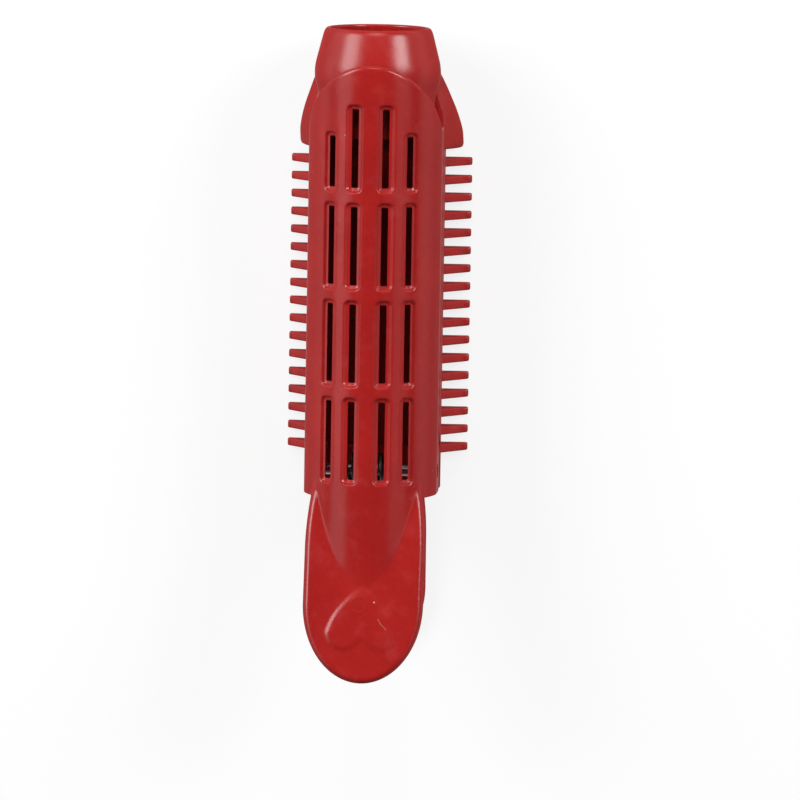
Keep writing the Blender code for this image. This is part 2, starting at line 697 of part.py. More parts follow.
def build_pin(parts, material):
    """The steel hinge pin, a little short of the cover's flanks at each end."""
    shape = bmesh.new()
    bmesh.ops.create_cone(
        shape,
        cap_ends=True,
        segments=PIN_STEPS,
        radius1=PIN_RADIUS,
        radius2=PIN_RADIUS,
        depth=2 * (COVER_RADIUS - PIN_RECESS),
        matrix=Matrix.Rotation(math.pi / 2, 4, "Y"),
    )
    pin = object_from("hinge_pin", shape, parts)
    pin.location = (0.0, y_at(PIN_STATION), PIN_HEIGHT)
    pin.data.materials.append(material)
    finish(pin)
    return pin


def tangent_angle(target, turn_sign):
    """Angle on the coil at which a straight leg towards the target leaves it."""
    away = Vector(target)
    return math.atan2(away.y, away.x) + turn_sign * math.acos(COIL_RADIUS / away.length)


def spring_points():
    """Centre line of the spring: upper leg, coil, lower leg. X is along the pin."""
    clear = PART_GAP + WIRE_RADIUS
    half_coil = (COIL_TURNS + 1) * COIL_PITCH / 2
    leg_run = PIN_STATION - LEG_STATION
    dome = math.sqrt((COVER_INNER_RADIUS - clear) ** 2 - half_coil**2)
    upper = (leg_run, COMB_AXIS_DROP + dome)
    tab_top = LOWER_TAB_TABLE_GAP + LOWER_TAB_WALL + LOWER_TAB_SLOPE * (CLIP_LENGTH - LEG_STATION)
    lower = (leg_run, tab_top + clear - PIN_HEIGHT)
    first = tangent_angle(upper, -1)
    last = tangent_angle(lower, 1)
    sweep = 2 * math.pi * COIL_TURNS + (last - first) % (2 * math.pi)
    count = round(sweep / (2 * math.pi) * COIL_POINTS_PER_TURN)
    points = [(-half_coil, *upper)]
    for step in range(count + 1):
        angle = first + sweep * step / count
        along = -half_coil + 2 * half_coil * step / count
        points.append((along, COIL_RADIUS * math.cos(angle), COIL_RADIUS * math.sin(angle)))
    points.append((half_coil, *lower))
    return points


def build_spring(parts, material):
    """The torsion spring, one unbroken wire round the pin."""
    points = spring_points()
    curve = bpy.data.curves.new("closing_spring", "CURVE")
    curve.dimensions = "3D"
    curve.bevel_depth = WIRE_RADIUS
    curve.bevel_resolution = 1
    curve.use_fill_caps = True
    line = curve.splines.new("POLY")
    line.points.add(len(points) - 1)
    for knot, place in zip(line.points, points):
        knot.co = (*place, 1.0)
    spring = bpy.data.objects.new("closing_spring", curve)
    spring.location = (0.0, y_at(PIN_STATION), PIN_HEIGHT)
    curve.materials.append(material)
    parts.objects.link(spring)

    coil = [Vector(place) for place in points[1:-1]]
    apart = COIL_POINTS_PER_TURN // 2
    gaps = [
        (coil[late] - coil[early]).length - 2 * WIRE_RADIUS
        for early in range(len(coil))
        for late in range(early + apart, len(coil))
    ]
    print(f"least gap between the spring's turns: {min(gaps) * 1000:.2f} mm")
    return spring


def main():
    clear_scene()
    parts = new_collection("root_lift_hair_clip")
    cutters = new_collection("cutters", hidden=True)
    plastic = new_material("red_satin_plastic", BODY_COLOUR, 0.32, 0.0)
    lower_plastic = new_material("red_comb_plastic", BODY_COLOUR, 0.36, 0.0)
    steel = new_material("bright_steel", STEEL_COLOUR, 0.25, 1.0)
    wire = new_material("spring_steel", STEEL_COLOUR, 0.35, 1.0)

    pivot = bpy.data.objects.new("hinge_axis", None)
    pivot.location = (0.0, y_at(PIN_STATION), PIN_HEIGHT)
    parts.objects.link(pivot)
    cover = build_cover(parts, cutters, plastic)
    cover.parent = pivot
    cover.matrix_parent_inverse = Matrix.Translation(-pivot.location)
    build_comb(parts, cutters, lower_plastic)
    build_pin(parts, steel)
    build_spring(parts, wire)


main()
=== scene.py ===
import math

import bmesh
import bpy
import numpy as np
from mathutils import Matrix, Vector


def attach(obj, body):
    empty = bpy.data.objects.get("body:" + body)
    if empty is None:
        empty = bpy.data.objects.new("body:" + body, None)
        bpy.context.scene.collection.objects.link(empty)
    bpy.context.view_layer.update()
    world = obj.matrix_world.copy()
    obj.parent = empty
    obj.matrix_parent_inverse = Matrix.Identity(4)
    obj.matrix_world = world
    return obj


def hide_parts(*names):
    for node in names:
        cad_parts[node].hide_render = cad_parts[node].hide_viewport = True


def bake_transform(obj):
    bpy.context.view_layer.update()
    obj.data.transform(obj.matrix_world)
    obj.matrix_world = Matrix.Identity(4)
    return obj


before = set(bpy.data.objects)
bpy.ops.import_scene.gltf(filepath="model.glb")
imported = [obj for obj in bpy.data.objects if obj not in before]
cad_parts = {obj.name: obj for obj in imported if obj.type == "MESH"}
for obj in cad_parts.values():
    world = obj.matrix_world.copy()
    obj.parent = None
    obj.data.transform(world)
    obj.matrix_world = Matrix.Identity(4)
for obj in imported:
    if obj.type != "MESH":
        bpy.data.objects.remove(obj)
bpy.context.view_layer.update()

# The cover jaw is one moulding in dark red plastic: a half-round shell with an arched front, four rows of
# vents in sunk recesses, and a thumb tab that grows out of its back. Its skins are laid out by two
# measures: "around", the way round the section from the crown, and "station", back from the collar's rim.
CLIP_LENGTH = 0.105
COVER_RADIUS = 0.0108
COVER_WALL = 0.00125
COVER_INNER_RADIUS = COVER_RADIUS - COVER_WALL
COVER_AXIS_HEIGHT = 0.0131
ARCH_STATION = 0.0054
ARCH_TURN_START = math.radians(75)
QUARTER_TURN = math.pi / 2
FLANK_AROUND = COVER_RADIUS * QUARTER_TURN
FLANK_STATION = 0.0755
FLANK_SHARES = (0.25, 0.5, 0.7, 0.88, 1.0)
SKIRT_DROP = 0.002
EAR_DROP = 0.0046
EAR_START = 0.0662
EAR_FULL = 0.069
EAR_CORNER = 0.0009
TAB_STATION = 0.0721
TAB_RISE = 0.006788
TAB_SLOPE = 0.227
TAB_WALL = 0.0017
TAB_HALF_WIDTH = 0.00975
TAB_ROOT_HALF_WIDTH = 0.0084
TAB_ROOT_LENGTH = 0.012
TAB_END_LENGTH = 0.0125
TAB_ROUND_START = CLIP_LENGTH - TAB_END_LENGTH
TAB_EDGE_ROUND = 0.00115
TAB_UNDER_ROUND = 0.0004
TAB_LAST_ANGLE = math.radians(70)
TAB_EASE_SHARE = 1 / 12
CREASE_SOFTNESS = 0.0002
CREASE_FADE = 4 * CREASE_SOFTNESS

ROW_CENTRE_STATION = 0.01877
ROW_PITCH = 0.01576
ROWS = 4
SLOT_HALF_LENGTH = 0.00633
SHORT_SLOT_HALF_LENGTH = 0.0041
SLOT_HALF_WIDTH = 0.0006
RECESS_FLOOR = 0.00049
SLOT_CORNER = 0.0002
SLOT_AROUNDS = (0.00261, 0.00702)
SLOT_DIVIDE_AROUND = 0.004815
LONG_STEPS = 6
CORNER_STEPS = 6
SHORT_STEPS = 2
PANEL_CORNER = LONG_STEPS + CORNER_STEPS // 2
FRONT_ROWS = 7
BACK_ROWS = 3
EDGE_STEPS = 7
FACE_STEPS = 3
UNDER_STEPS = 3
LEDGE_STEPS = 4
SIDE_STEPS = 12
TAB_COLUMN_SPLIT = 4
TAB_STRAIGHT_ROWS = 72
TAB_ROUND_ROWS = 84
MERGE_DISTANCE = 0.000001
MOULDING_CREASE = math.radians(40)

# Each profile runs from the outer skin to the inner one, as a reach from the edge and a depth
VENT_PROFILE = (
    (0.00093, 0.0), (0.00087, 0.00001), (0.0008, 0.00004), (0.00073, 0.0001), (0.00066, 0.00019),
    (0.00058, 0.00032), (0.0005, 0.00042), (0.0004, 0.00047), (0.00008, RECESS_FLOOR), (0.00003, 0.00051),
    (0.0, 0.00056), (0.0, 0.0009), (0.0, 0.00115), (0.00002, 0.00122), (0.00007, 0.00125),
    (0.0002, 0.00125),
)
ARCH_PROFILE = (
    (0.0008, 0.0), (0.00058, 0.00001), (0.00044, 0.00004), (0.00032, 0.00009), (0.00022, 0.00016),
    (0.00013, 0.00025), (0.00006, 0.00036), (0.00002, 0.00047), (0.0, 0.0006), (0.0, 0.0009),
    (0.0, 0.00112), (0.00004, 0.00121), (0.00013, 0.00125), (0.0005, 0.00125),
)


def y_at(station):
    return CLIP_LENGTH / 2 - station


def lerp(start, end, share):
    return start + (end - start) * share


def clipped(share):
    return min(1.0, max(0.0, share))


def eased(share):
    return clipped(share) ** 2 * (3 - 2 * clipped(share))


def shares(steps, first=0):
    """Even shares of a way, up to 1."""
    return [step / steps for step in range(first, steps + 1)]


def quarter_turns(steps, first=0):
    return [QUARTER_TURN * share for share in shares(steps, first)]


def mirrored(points):
    return [(-across, other) for across, other in points]


def tab_rise(station):
    """Height of the thumb tab's top above the cover's axis."""
    return TAB_RISE + TAB_SLOPE * (station - TAB_STATION)


def tab_half_width(station):
    """Half-width of the thumb tab up to where its end begins to close."""
    short_of_widest = max(0.0, TAB_STATION + TAB_ROOT_LENGTH - station) / TAB_ROOT_LENGTH
    return lerp(TAB_HALF_WIDTH, TAB_ROOT_HALF_WIDTH, short_of_widest**2)


def tab_ray(angle, station):
    """Distance from the cover's axis to the round-edged tab, along a ray tilted from straight up."""
    rise = tab_rise(station)
    half_width = tab_half_width(station)
    if rise * math.tan(angle) <= half_width - TAB_EDGE_ROUND:
        return rise / math.cos(angle)
    if half_width / math.tan(angle) <= rise - TAB_EDGE_ROUND:
        return half_width / math.sin(angle)
    centre = Vector((half_width - TAB_EDGE_ROUND, rise - TAB_EDGE_ROUND))
    along = centre.dot(Vector((math.sin(angle), math.cos(angle))))
    return along + math.sqrt(max(0.0, along**2 - centre.length_squared + TAB_EDGE_ROUND**2))


def softer_max(one, other):
    return (one + other + math.sqrt((one - other) ** 2 + CREASE_SOFTNESS**2)) / 2


def cover_contour(angle, station):
    """Outer radius of the cover: its half-round, with the tab where that stands proud."""
    if station < TAB_STATION - 2 * TAB_EDGE_ROUND or angle > TAB_LAST_ANGLE:
        return COVER_RADIUS
    return COVER_RADIUS + softer_max(COVER_RADIUS, tab_ray(angle, station)) - softer_max(COVER_RADIUS, 0.0)


def cover_point(around, station, depth):
    """A point of the cover's skin, or at a depth below it."""
    angle = min(around / COVER_RADIUS, QUARTER_TURN)
    outer = COVER_RADIUS if depth >= COVER_WALL else cover_contour(angle, station)
    rise = (outer - depth) * math.cos(angle) - max(0.0, around - FLANK_AROUND)
    return ((outer - depth) * math.sin(angle), y_at(station), COVER_AXIS_HEIGHT + rise)


def flank_drop(station):
    """How far the flank hangs below the cover's axis: a short skirt, then the hinge ear."""
    if station < EAR_FULL:
        return lerp(SKIRT_DROP, EAR_DROP, clipped((station - EAR_START) / (EAR_FULL - EAR_START)))
    past = max(0.0, station - (FLANK_STATION - EAR_CORNER))
    return EAR_DROP - EAR_CORNER + math.sqrt(max(0.0, EAR_CORNER**2 - past**2))


def add_face(mesh, places):
    mesh.faces.new([mesh.verts.new(place) for place in places])


def join_rows(mesh, near, far, closed=False):
    """A band of quads between two rows of vertices."""
    for index in range(len(near) - 1 + closed):
        after = (index + 1) % len(near)
        mesh.faces.new((near[index], near[after], far[after], far[index]))


def add_bands(mesh, rows, closed=False):
    """Bands of quads through rows of places. Gives back the rows of vertices."""
    knots = [[mesh.verts.new(place) for place in row] for row in rows]
    for near, far in zip(knots, knots[1:]):
        join_rows(mesh, near, far, closed)
    return knots


def quarter_ring(half_length, grow):
    """A quarter of a vent's outline, from the middle of its long side to the middle of its short one."""
    straight = half_length - SLOT_CORNER
    flat = SLOT_HALF_WIDTH - SLOT_CORNER
    radius = SLOT_CORNER + grow
    points = [(SLOT_HALF_WIDTH + grow, straight * share) for share in shares(LONG_STEPS)]
    for turn in quarter_turns(CORNER_STEPS, 1):
        points.append((flat + radius * math.cos(turn), straight + radius * math.sin(turn)))
    return points + [(flat * (1 - share), half_length + grow) for share in shares(SHORT_STEPS, 1)]


def quarter_panel(reach):
    """The same quarter on the edge of the vent's panel, so that neighbouring panels meet."""
    straight = SLOT_HALF_LENGTH - SLOT_CORNER
    flat = SLOT_HALF_WIDTH - SLOT_CORNER
    half_corner = shares(CORNER_STEPS // 2, 1)
    points = [(reach, straight * share) for share in shares(LONG_STEPS)]
    points += [(reach, lerp(straight, ROW_PITCH / 2, share)) for share in half_corner]
    points += [(lerp(reach, flat, share), ROW_PITCH / 2) for share in half_corner]
    return points + [(flat * (1 - share), ROW_PITCH / 2) for share in shares(SHORT_STEPS, 1)]


def whole_ring(crown_quarter, flank_quarter, around, station):
    """Four quarters as one closed loop of (around, station)."""
    half = flank_quarter + mirrored(crown_quarter[::-1])[1:]
    other = [(x, -s) for x, s in half[::-1]][1:-1]
    return [(around + x, station + s) for x, s in half + other]


def straight_down(around, depth):
    """Where a wall that is cut straight down from the recess's floor stands at a depth."""
    across = (COVER_RADIUS - RECESS_FLOOR) * math.sin(around / COVER_RADIUS)
    return COVER_RADIUS * math.asin(across / (COVER_RADIUS - depth))


def add_vent(mesh, around, low_around, high_around, row):
    """One panel of the shell with its vent: the sunk recess, the slot and the skin inside."""
    row_station = ROW_CENTRE_STATION + row * ROW_PITCH
    short = row == 0 and around == SLOT_AROUNDS[1]
    half_length = SHORT_SLOT_HALF_LENGTH if short else SLOT_HALF_LENGTH
    station = row_station + SLOT_HALF_LENGTH - half_length
    panel = whole_ring(
        quarter_panel(around - low_around), quarter_panel(high_around - around), around, row_station
    )
    loops = []
    for reach, depth in VENT_PROFILE:
        quarter = quarter_ring(half_length, reach)
        ring = whole_ring(quarter, quarter, around, station)
        if depth > RECESS_FLOOR:
            ring = [(straight_down(a, depth), s) for a, s in ring]
        loops.append((ring, depth))
    midway = [((a + c) / 2, (b + d) / 2) for (a, b), (c, d) in zip(panel, loops[0][0])]
    loops = [(panel, 0.0), (midway, 0.0)] + loops + [(panel, COVER_WALL)]
    add_bands(mesh, [[cover_point(a, s, depth) for a, s in loop] for loop, depth in loops], True)


def arch_edge(around, reach):
    """A place at a reach behind the arched front edge, square to that edge."""
    angle = min(around / COVER_RADIUS, QUARTER_TURN)
    past = clipped((around / COVER_RADIUS - ARCH_TURN_START) / (QUARTER_TURN - ARCH_TURN_START))
    lean = math.sin(angle) * (1 - past)
    station = ARCH_STATION + COVER_RADIUS * (1 - math.cos(angle))
    stretch = math.hypot(1.0, lean)
    return around - reach * lean / stretch, station + reach / stretch


def row_behind_arch(arounds, reach, depth, across_share, join, along_share):
    """A row behind the arched edge, by its shares of the way to upright columns and to a station."""
    row = []
    for around in arounds:
        edge_around, edge_station = arch_edge(around, reach)
        across = lerp(edge_around, around, across_share)
        row.append((across, lerp(edge_station, join, along_share), depth))
    return row


def panel_stations(row):
    """Where the rows along a panel's long edge stand."""
    half = [s for x, s in quarter_panel(0.0)[:PANEL_CORNER + 1]]
    centre = ROW_CENTRE_STATION + row * ROW_PITCH
    return [centre - s for s in reversed(half)] + [centre + s for s in half[1:]]


# The tab's round edge, by the way round from the crown, at the station where the flanks end
flank_rise = tab_rise(FLANK_STATION)
flank_width = tab_half_width(FLANK_STATION)
side_around = COVER_RADIUS * math.atan((flank_width - TAB_EDGE_ROUND) / flank_rise)
edge_profile = []
for turn in quarter_turns(EDGE_STEPS):
    edge_profile.append((TAB_EDGE_ROUND * math.sin(turn), TAB_EDGE_ROUND * (1 - math.cos(turn))))
face_depth = TAB_WALL - TAB_UNDER_ROUND - TAB_EDGE_ROUND
edge_profile += [(TAB_EDGE_ROUND, TAB_EDGE_ROUND + face_depth * share) for share in shares(FACE_STEPS, 1)]
under_profile = []
for turn in quarter_turns(UNDER_STEPS, 1):
    under_profile.append((
        TAB_EDGE_ROUND - TAB_UNDER_ROUND * (1 - math.cos(turn)),
        TAB_WALL - TAB_UNDER_ROUND * (1 - math.sin(turn)),
    ))
edge_arounds = []
for reach, depth in edge_profile:
    across = flank_width - TAB_EDGE_ROUND + reach
    edge_arounds.append(COVER_RADIUS * math.atan(across / (flank_rise - depth)))
edge_foot_rise = math.sqrt(COVER_RADIUS**2 - flank_width**2)
edge_arounds.append(COVER_RADIUS * math.atan(flank_width / edge_foot_rise))
ledge_around = COVER_RADIUS * math.acos((flank_rise - TAB_WALL) / COVER_INNER_RADIUS)
foot = len(edge_arounds) - 1
down_shares = shares(SIDE_STEPS, 1)
side_arounds = edge_arounds + [lerp(edge_arounds[-1], FLANK_AROUND, share) for share in down_shares]
inner_arounds = [lerp(side_around, ledge_around, share) for share in shares(foot)]
inner_arounds += [lerp(ledge_around, FLANK_AROUND, share) for share in down_shares]

shell = bmesh.new()
crown_arounds = []
bounds = (0.0, SLOT_DIVIDE_AROUND, side_around)
for around, low, high in zip(SLOT_AROUNDS, bounds, bounds[1:]):
    for row in range(ROWS):
        add_vent(shell, around, low, high, row)
    crown_arounds += [around - x for x, s in quarter_panel(around - low)[PANEL_CORNER:]]
    crown_arounds += [around + x for x, s in reversed(quarter_panel(high - around)[PANEL_CORNER + 1:-1])]
crown_arounds.append(side_around)

# In front of the vents the skins run to the arched edge
first_station = ROW_CENTRE_STATION - ROW_PITCH / 2
last_station = first_station + ROWS * ROW_PITCH
first_reach, last_reach = ARCH_PROFILE[0][0], ARCH_PROFILE[-1][0]
front_rows = []
for share in reversed(shares(FRONT_ROWS)):
    front_rows.append(row_behind_arch(crown_arounds, first_reach, 0.0, share, first_station, share))
for reach, depth in ARCH_PROFILE[1:]:
    front_rows.append([(*arch_edge(around, reach), depth) for around in crown_arounds])
for share in shares(FRONT_ROWS, 1):
    front_rows.append(row_behind_arch(crown_arounds, last_reach, COVER_WALL, share, first_station, share))
add_bands(shell, [[cover_point(*place) for place in row] for row in front_rows])

# Beside the vents the skins run the whole length and down to the skirt and the hinge ear
all_stations = []
for row in range(ROWS):
    all_stations += panel_stations(row)[:-1]
all_stations += [lerp(last_station, FLANK_STATION, share) for share in shares(BACK_ROWS)]


def side_columns(station, depth):
    """The columns beside the vents: past the tab's round edge, down the half-round and the flank."""
    columns = [lerp(out, inside, depth / COVER_WALL) for out, inside in zip(side_arounds, inner_arounds)]
    return columns + [FLANK_AROUND + flank_drop(station) * low for low in FLANK_SHARES]


def side_row(station, depth, reach):
    """One row of the side skin. In front of the second row of vents it follows the arched edge."""
    join = panel_stations(1)[0]
    columns = side_columns(station, depth)
    if station >= join:
        return [(around, station, depth) for around in columns]
    past = station - arch_edge(side_around, reach)[1]
    across_share = min(1.0, past / (past + first_station - station))
    return row_behind_arch(columns, reach, depth, across_share, join, past / (past + join - station))


near_edge = arch_edge(side_around, first_reach)[1]
stations = all_stations[::-1] + [lerp(first_station, near_edge, share) for share in shares(FRONT_ROWS, 1)]
outer_count = len(stations)
side_rows = [side_row(station, 0.0, first_reach) for station in stations]
for reach, depth in ARCH_PROFILE[1:]:
    side_rows.append([(*arch_edge(around, reach), depth) for around in side_columns(first_station, depth)])
near_edge = arch_edge(side_around, last_reach)[1]
stations = [lerp(near_edge, first_station, share) for share in shares(FRONT_ROWS, 1)] + all_stations[1:]
side_rows += [side_row(station, COVER_WALL, last_reach) for station in stations]
side_knots = add_bands(shell, [[cover_point(*place) for place in row] for row in side_rows])

# The skirt's bottom edge and the flank's back end close the two skins
skirt_knots = [row[-1] for row in side_knots]
join_rows(shell, skirt_knots[:outer_count], skirt_knots[::-1][:outer_count])
shell.faces.new(skirt_knots[outer_count - 1:1 - outer_count])
join_rows(shell, side_knots[0][foot + 1:], side_knots[-1][foot + 1:])

# Behind the last vents the crown runs on to the station where the flanks end
for depth in (0.0, COVER_WALL):
    back_rows = []
    for station in all_stations[-1 - BACK_ROWS:]:
        back_rows.append([cover_point(around, station, depth) for around in crown_arounds])
    add_bands(shell, back_rows)


# The thumb tab: its top keeps the half-round's crown, which sinks into it in a long V
def round_end(half_width, length, steps):
    """Rows down a tab's end, each the outline's half-width, its station and the way that it faces."""
    rows = []
    for turn in quarter_turns(steps):
        facing = Vector((length * math.cos(turn), half_width * math.sin(turn))).normalized()
        rows.append((half_width * math.cos(turn), TAB_ROUND_START + length * math.sin(turn), facing))
    return rows


def tab_places():
    """The same for the whole upper tab."""
    rows = []
    for share in shares(TAB_STRAIGHT_ROWS, 1)[:-1]:
        station = lerp(FLANK_STATION, TAB_ROUND_START, share)
        short_of_widest = max(0.0, TAB_STATION + TAB_ROOT_LENGTH - station)
        spread = 2 * (TAB_HALF_WIDTH - TAB_ROOT_HALF_WIDTH) * short_of_widest
        facing = Vector((1.0, -spread / TAB_ROOT_LENGTH**2)).normalized()
        facing = Vector((1.0, facing.y * clipped(share / TAB_EASE_SHARE))).normalized()
        rows.append((tab_half_width(station), station, facing))
    return rows + round_end(TAB_HALF_WIDTH, TAB_END_LENGTH, TAB_ROUND_ROWS)


def tab_edge_place(half_width, station, facing, reach, depth):
    """A place on the tab's round edge: a reach out from where the rounding starts, and a depth."""
    out = reach - TAB_EDGE_ROUND
    behind = station + facing.y * out
    return (half_width + facing.x * out, y_at(behind), COVER_AXIS_HEIGHT + tab_rise(behind) - depth)


def tab_top_place(share, half_width, station):
    """A place on the tab's top, by its share of the way out to where the edge starts to round."""
    angle = share * math.atan(half_width / tab_rise(station))
    flat = tab_rise(station) / math.cos(angle)
    radius = softer_max(COVER_RADIUS, flat)
    radius = lerp(radius, flat, clipped((flat - COVER_RADIUS) / CREASE_FADE))
    return (radius * math.sin(angle), y_at(station), COVER_AXIS_HEIGHT + radius * math.cos(angle))


def tab_under_place(across, station):
    """A place on the tab's underside, where the shell's hollow runs out in a V."""
    hollow = math.sqrt(max(0.0, COVER_INNER_RADIUS**2 - across**2))
    return (across, y_at(station), COVER_AXIS_HEIGHT + max(tab_rise(station) - TAB_WALL, hollow))


fine_shares = []
for low, high in zip(crown_arounds, crown_arounds[1:]):
    fine_shares += [lerp(low, high, share) / side_around for share in shares(TAB_COLUMN_SPLIT)[:-1]]
fine_shares.append(1.0)
under_acrosses = []
for around in crown_arounds + inner_arounds[1:foot + 1]:
    under_acrosses.append(COVER_INNER_RADIUS * math.sin(around / COVER_RADIUS))
under_start = flank_width - TAB_UNDER_ROUND
ledge_start = under_acrosses[-1]
under_acrosses += [lerp(ledge_start, under_start, share) for share in shares(LEDGE_STEPS, 1)[:-1]]

first_top = [cover_point(around, FLANK_STATION, 0.0) for around in crown_arounds]
first_skirt = [cover_point(around, FLANK_STATION, 0.0) for around in edge_arounds]
foot_place = first_skirt[-1]
ledge_place = cover_point(inner_arounds[foot], FLANK_STATION, COVER_WALL)
ledge_count = LEDGE_STEPS + UNDER_STEPS - 1
for share in shares(ledge_count, 1):
    first_skirt.append([lerp(a, b, share) for a, b in zip(foot_place, ledge_place)])
for around in inner_arounds[:foot][::-1] + crown_arounds[:-1][::-1]:
    first_skirt.append(cover_point(around, FLANK_STATION, COVER_WALL))

top_rows = []
skirt_rows = [first_skirt]
for half_width, station, facing in tab_places():
    inset_width = max(0.0, half_width - facing.x * TAB_EDGE_ROUND)
    inset_station = station - facing.y * TAB_EDGE_ROUND
    top_rows.append([tab_top_place(share, inset_width, inset_station) for share in fine_shares])
    skirt = [top_rows[-1][-1]]
    for spot in edge_profile[1:] + under_profile:
        skirt.append(tab_edge_place(half_width, station, facing, *spot))
    under_width = max(0.0, half_width - facing.x * TAB_UNDER_ROUND)
    under_station = station - facing.y * TAB_UNDER_ROUND
    for across in reversed(under_acrosses):
        skirt.append(tab_under_place(across / under_start * under_width, under_station))
    skirt_rows.append(skirt)
add_bands(shell, top_rows)
add_bands(shell, skirt_rows)
for index in range(len(first_top) - 1):
    start = index * TAB_COLUMN_SPLIT
    add_face(shell, first_top[index:index + 2] + top_rows[0][start:start + TAB_COLUMN_SPLIT + 1][::-1])
add_face(shell, first_skirt[foot:foot + ledge_count + 1] + [
    cover_point(inner_arounds[foot + 1], FLANK_STATION, COVER_WALL),
    cover_point(side_arounds[foot + 1], FLANK_STATION, 0.0),
])

# The other half of the cover mirrors this one
bmesh.ops.remove_doubles(shell, verts=shell.verts, dist=MERGE_DISTANCE)
for knot in shell.verts:
    if abs(knot.co.x) < MERGE_DISTANCE:
        knot.co.x = 0.0
copied = bmesh.ops.duplicate(shell, geom=shell.verts[:] + shell.edges[:] + shell.faces[:])
for item in copied["geom"]:
    if isinstance(item, bmesh.types.BMVert):
        item.co.x = -item.co.x
bmesh.ops.remove_doubles(shell, verts=shell.verts, dist=MERGE_DISTANCE)
bmesh.ops.dissolve_degenerate(shell, edges=shell.edges, dist=MERGE_DISTANCE / 10)


def piece_from(name, mesh):
    """An object from a bmesh, with its faces turned out."""
    bmesh.ops.recalc_face_normals(mesh, faces=mesh.faces)
    data = bpy.data.meshes.new(name)
    mesh.to_mesh(data)
    mesh.free()
    piece = bpy.data.objects.new(name, data)
    bpy.context.scene.collection.objects.link(piece)
    return piece


def smooth(piece, crease):
    """Smooth shading, with edges sharper than an angle kept."""
    piece.data.shade_smooth()
    piece.data.set_sharp_from_angle(angle=crease)


def dress(piece, finish, crease):
    """A piece's finish and its shading."""
    piece.data.materials.append(finish.material)
    smooth(piece, crease)


class Amount:
    """A number that varies over a surface, with Python's sums on it."""

    def __init__(self, finish, socket):
        self.finish = finish
        self.socket = socket

    def sum(self, operation, *values):
        return self.finish.amount(0, "ShaderNodeMath", {"operation": operation}, *values)

    def __add__(self, other):
        return self.sum("ADD", self, other)

    def __radd__(self, other):
        return self.sum("ADD", other, self)

    def __sub__(self, other):
        return self.sum("SUBTRACT", self, other)

    def __rsub__(self, other):
        return self.sum("SUBTRACT", other, self)

    def __mul__(self, other):
        return self.sum("MULTIPLY", self, other)

    def __rmul__(self, other):
        return self.sum("MULTIPLY", other, self)

    def __truediv__(self, other):
        return self.sum("DIVIDE", self, other)

    def step_between(self, low, high):
        """0 below one value, 1 above the other, and a soft step in between."""
        return self.finish.amount(
            0, "ShaderNodeMapRange", {"interpolation_type": "SMOOTHSTEP"}, Value=self,
            From_Min=low, From_Max=high, To_Min=0.0, To_Max=1.0,
        )


class Recipe:
    """Adds nodes to a tree."""

    def __init__(self, tree):
        self.tree = tree

    def feed(self, socket, value):
        """Links an input to a socket or an amount, or sets it."""
        if isinstance(value, Amount):
            value = value.socket
        if isinstance(value, bpy.types.NodeSocket):
            self.tree.links.new(value, socket)
        else:
            socket.default_value = value

    def node(self, kind, settings=None, *numbered, **named):
        """A node with its settings made first, then its inputs by number or by name."""
        made = self.tree.nodes.new(kind)
        for name, value in (settings or {}).items():
            setattr(made, name, value)
        for number, value in enumerate(numbered):
            self.feed(made.inputs[number], value)
        for name, value in named.items():
            self.feed(made.inputs[name.replace("_", " ")], value)
        return made

    def amount(self, output, *recipe, **named):
        return Amount(self, self.node(*recipe, **named).outputs[output])


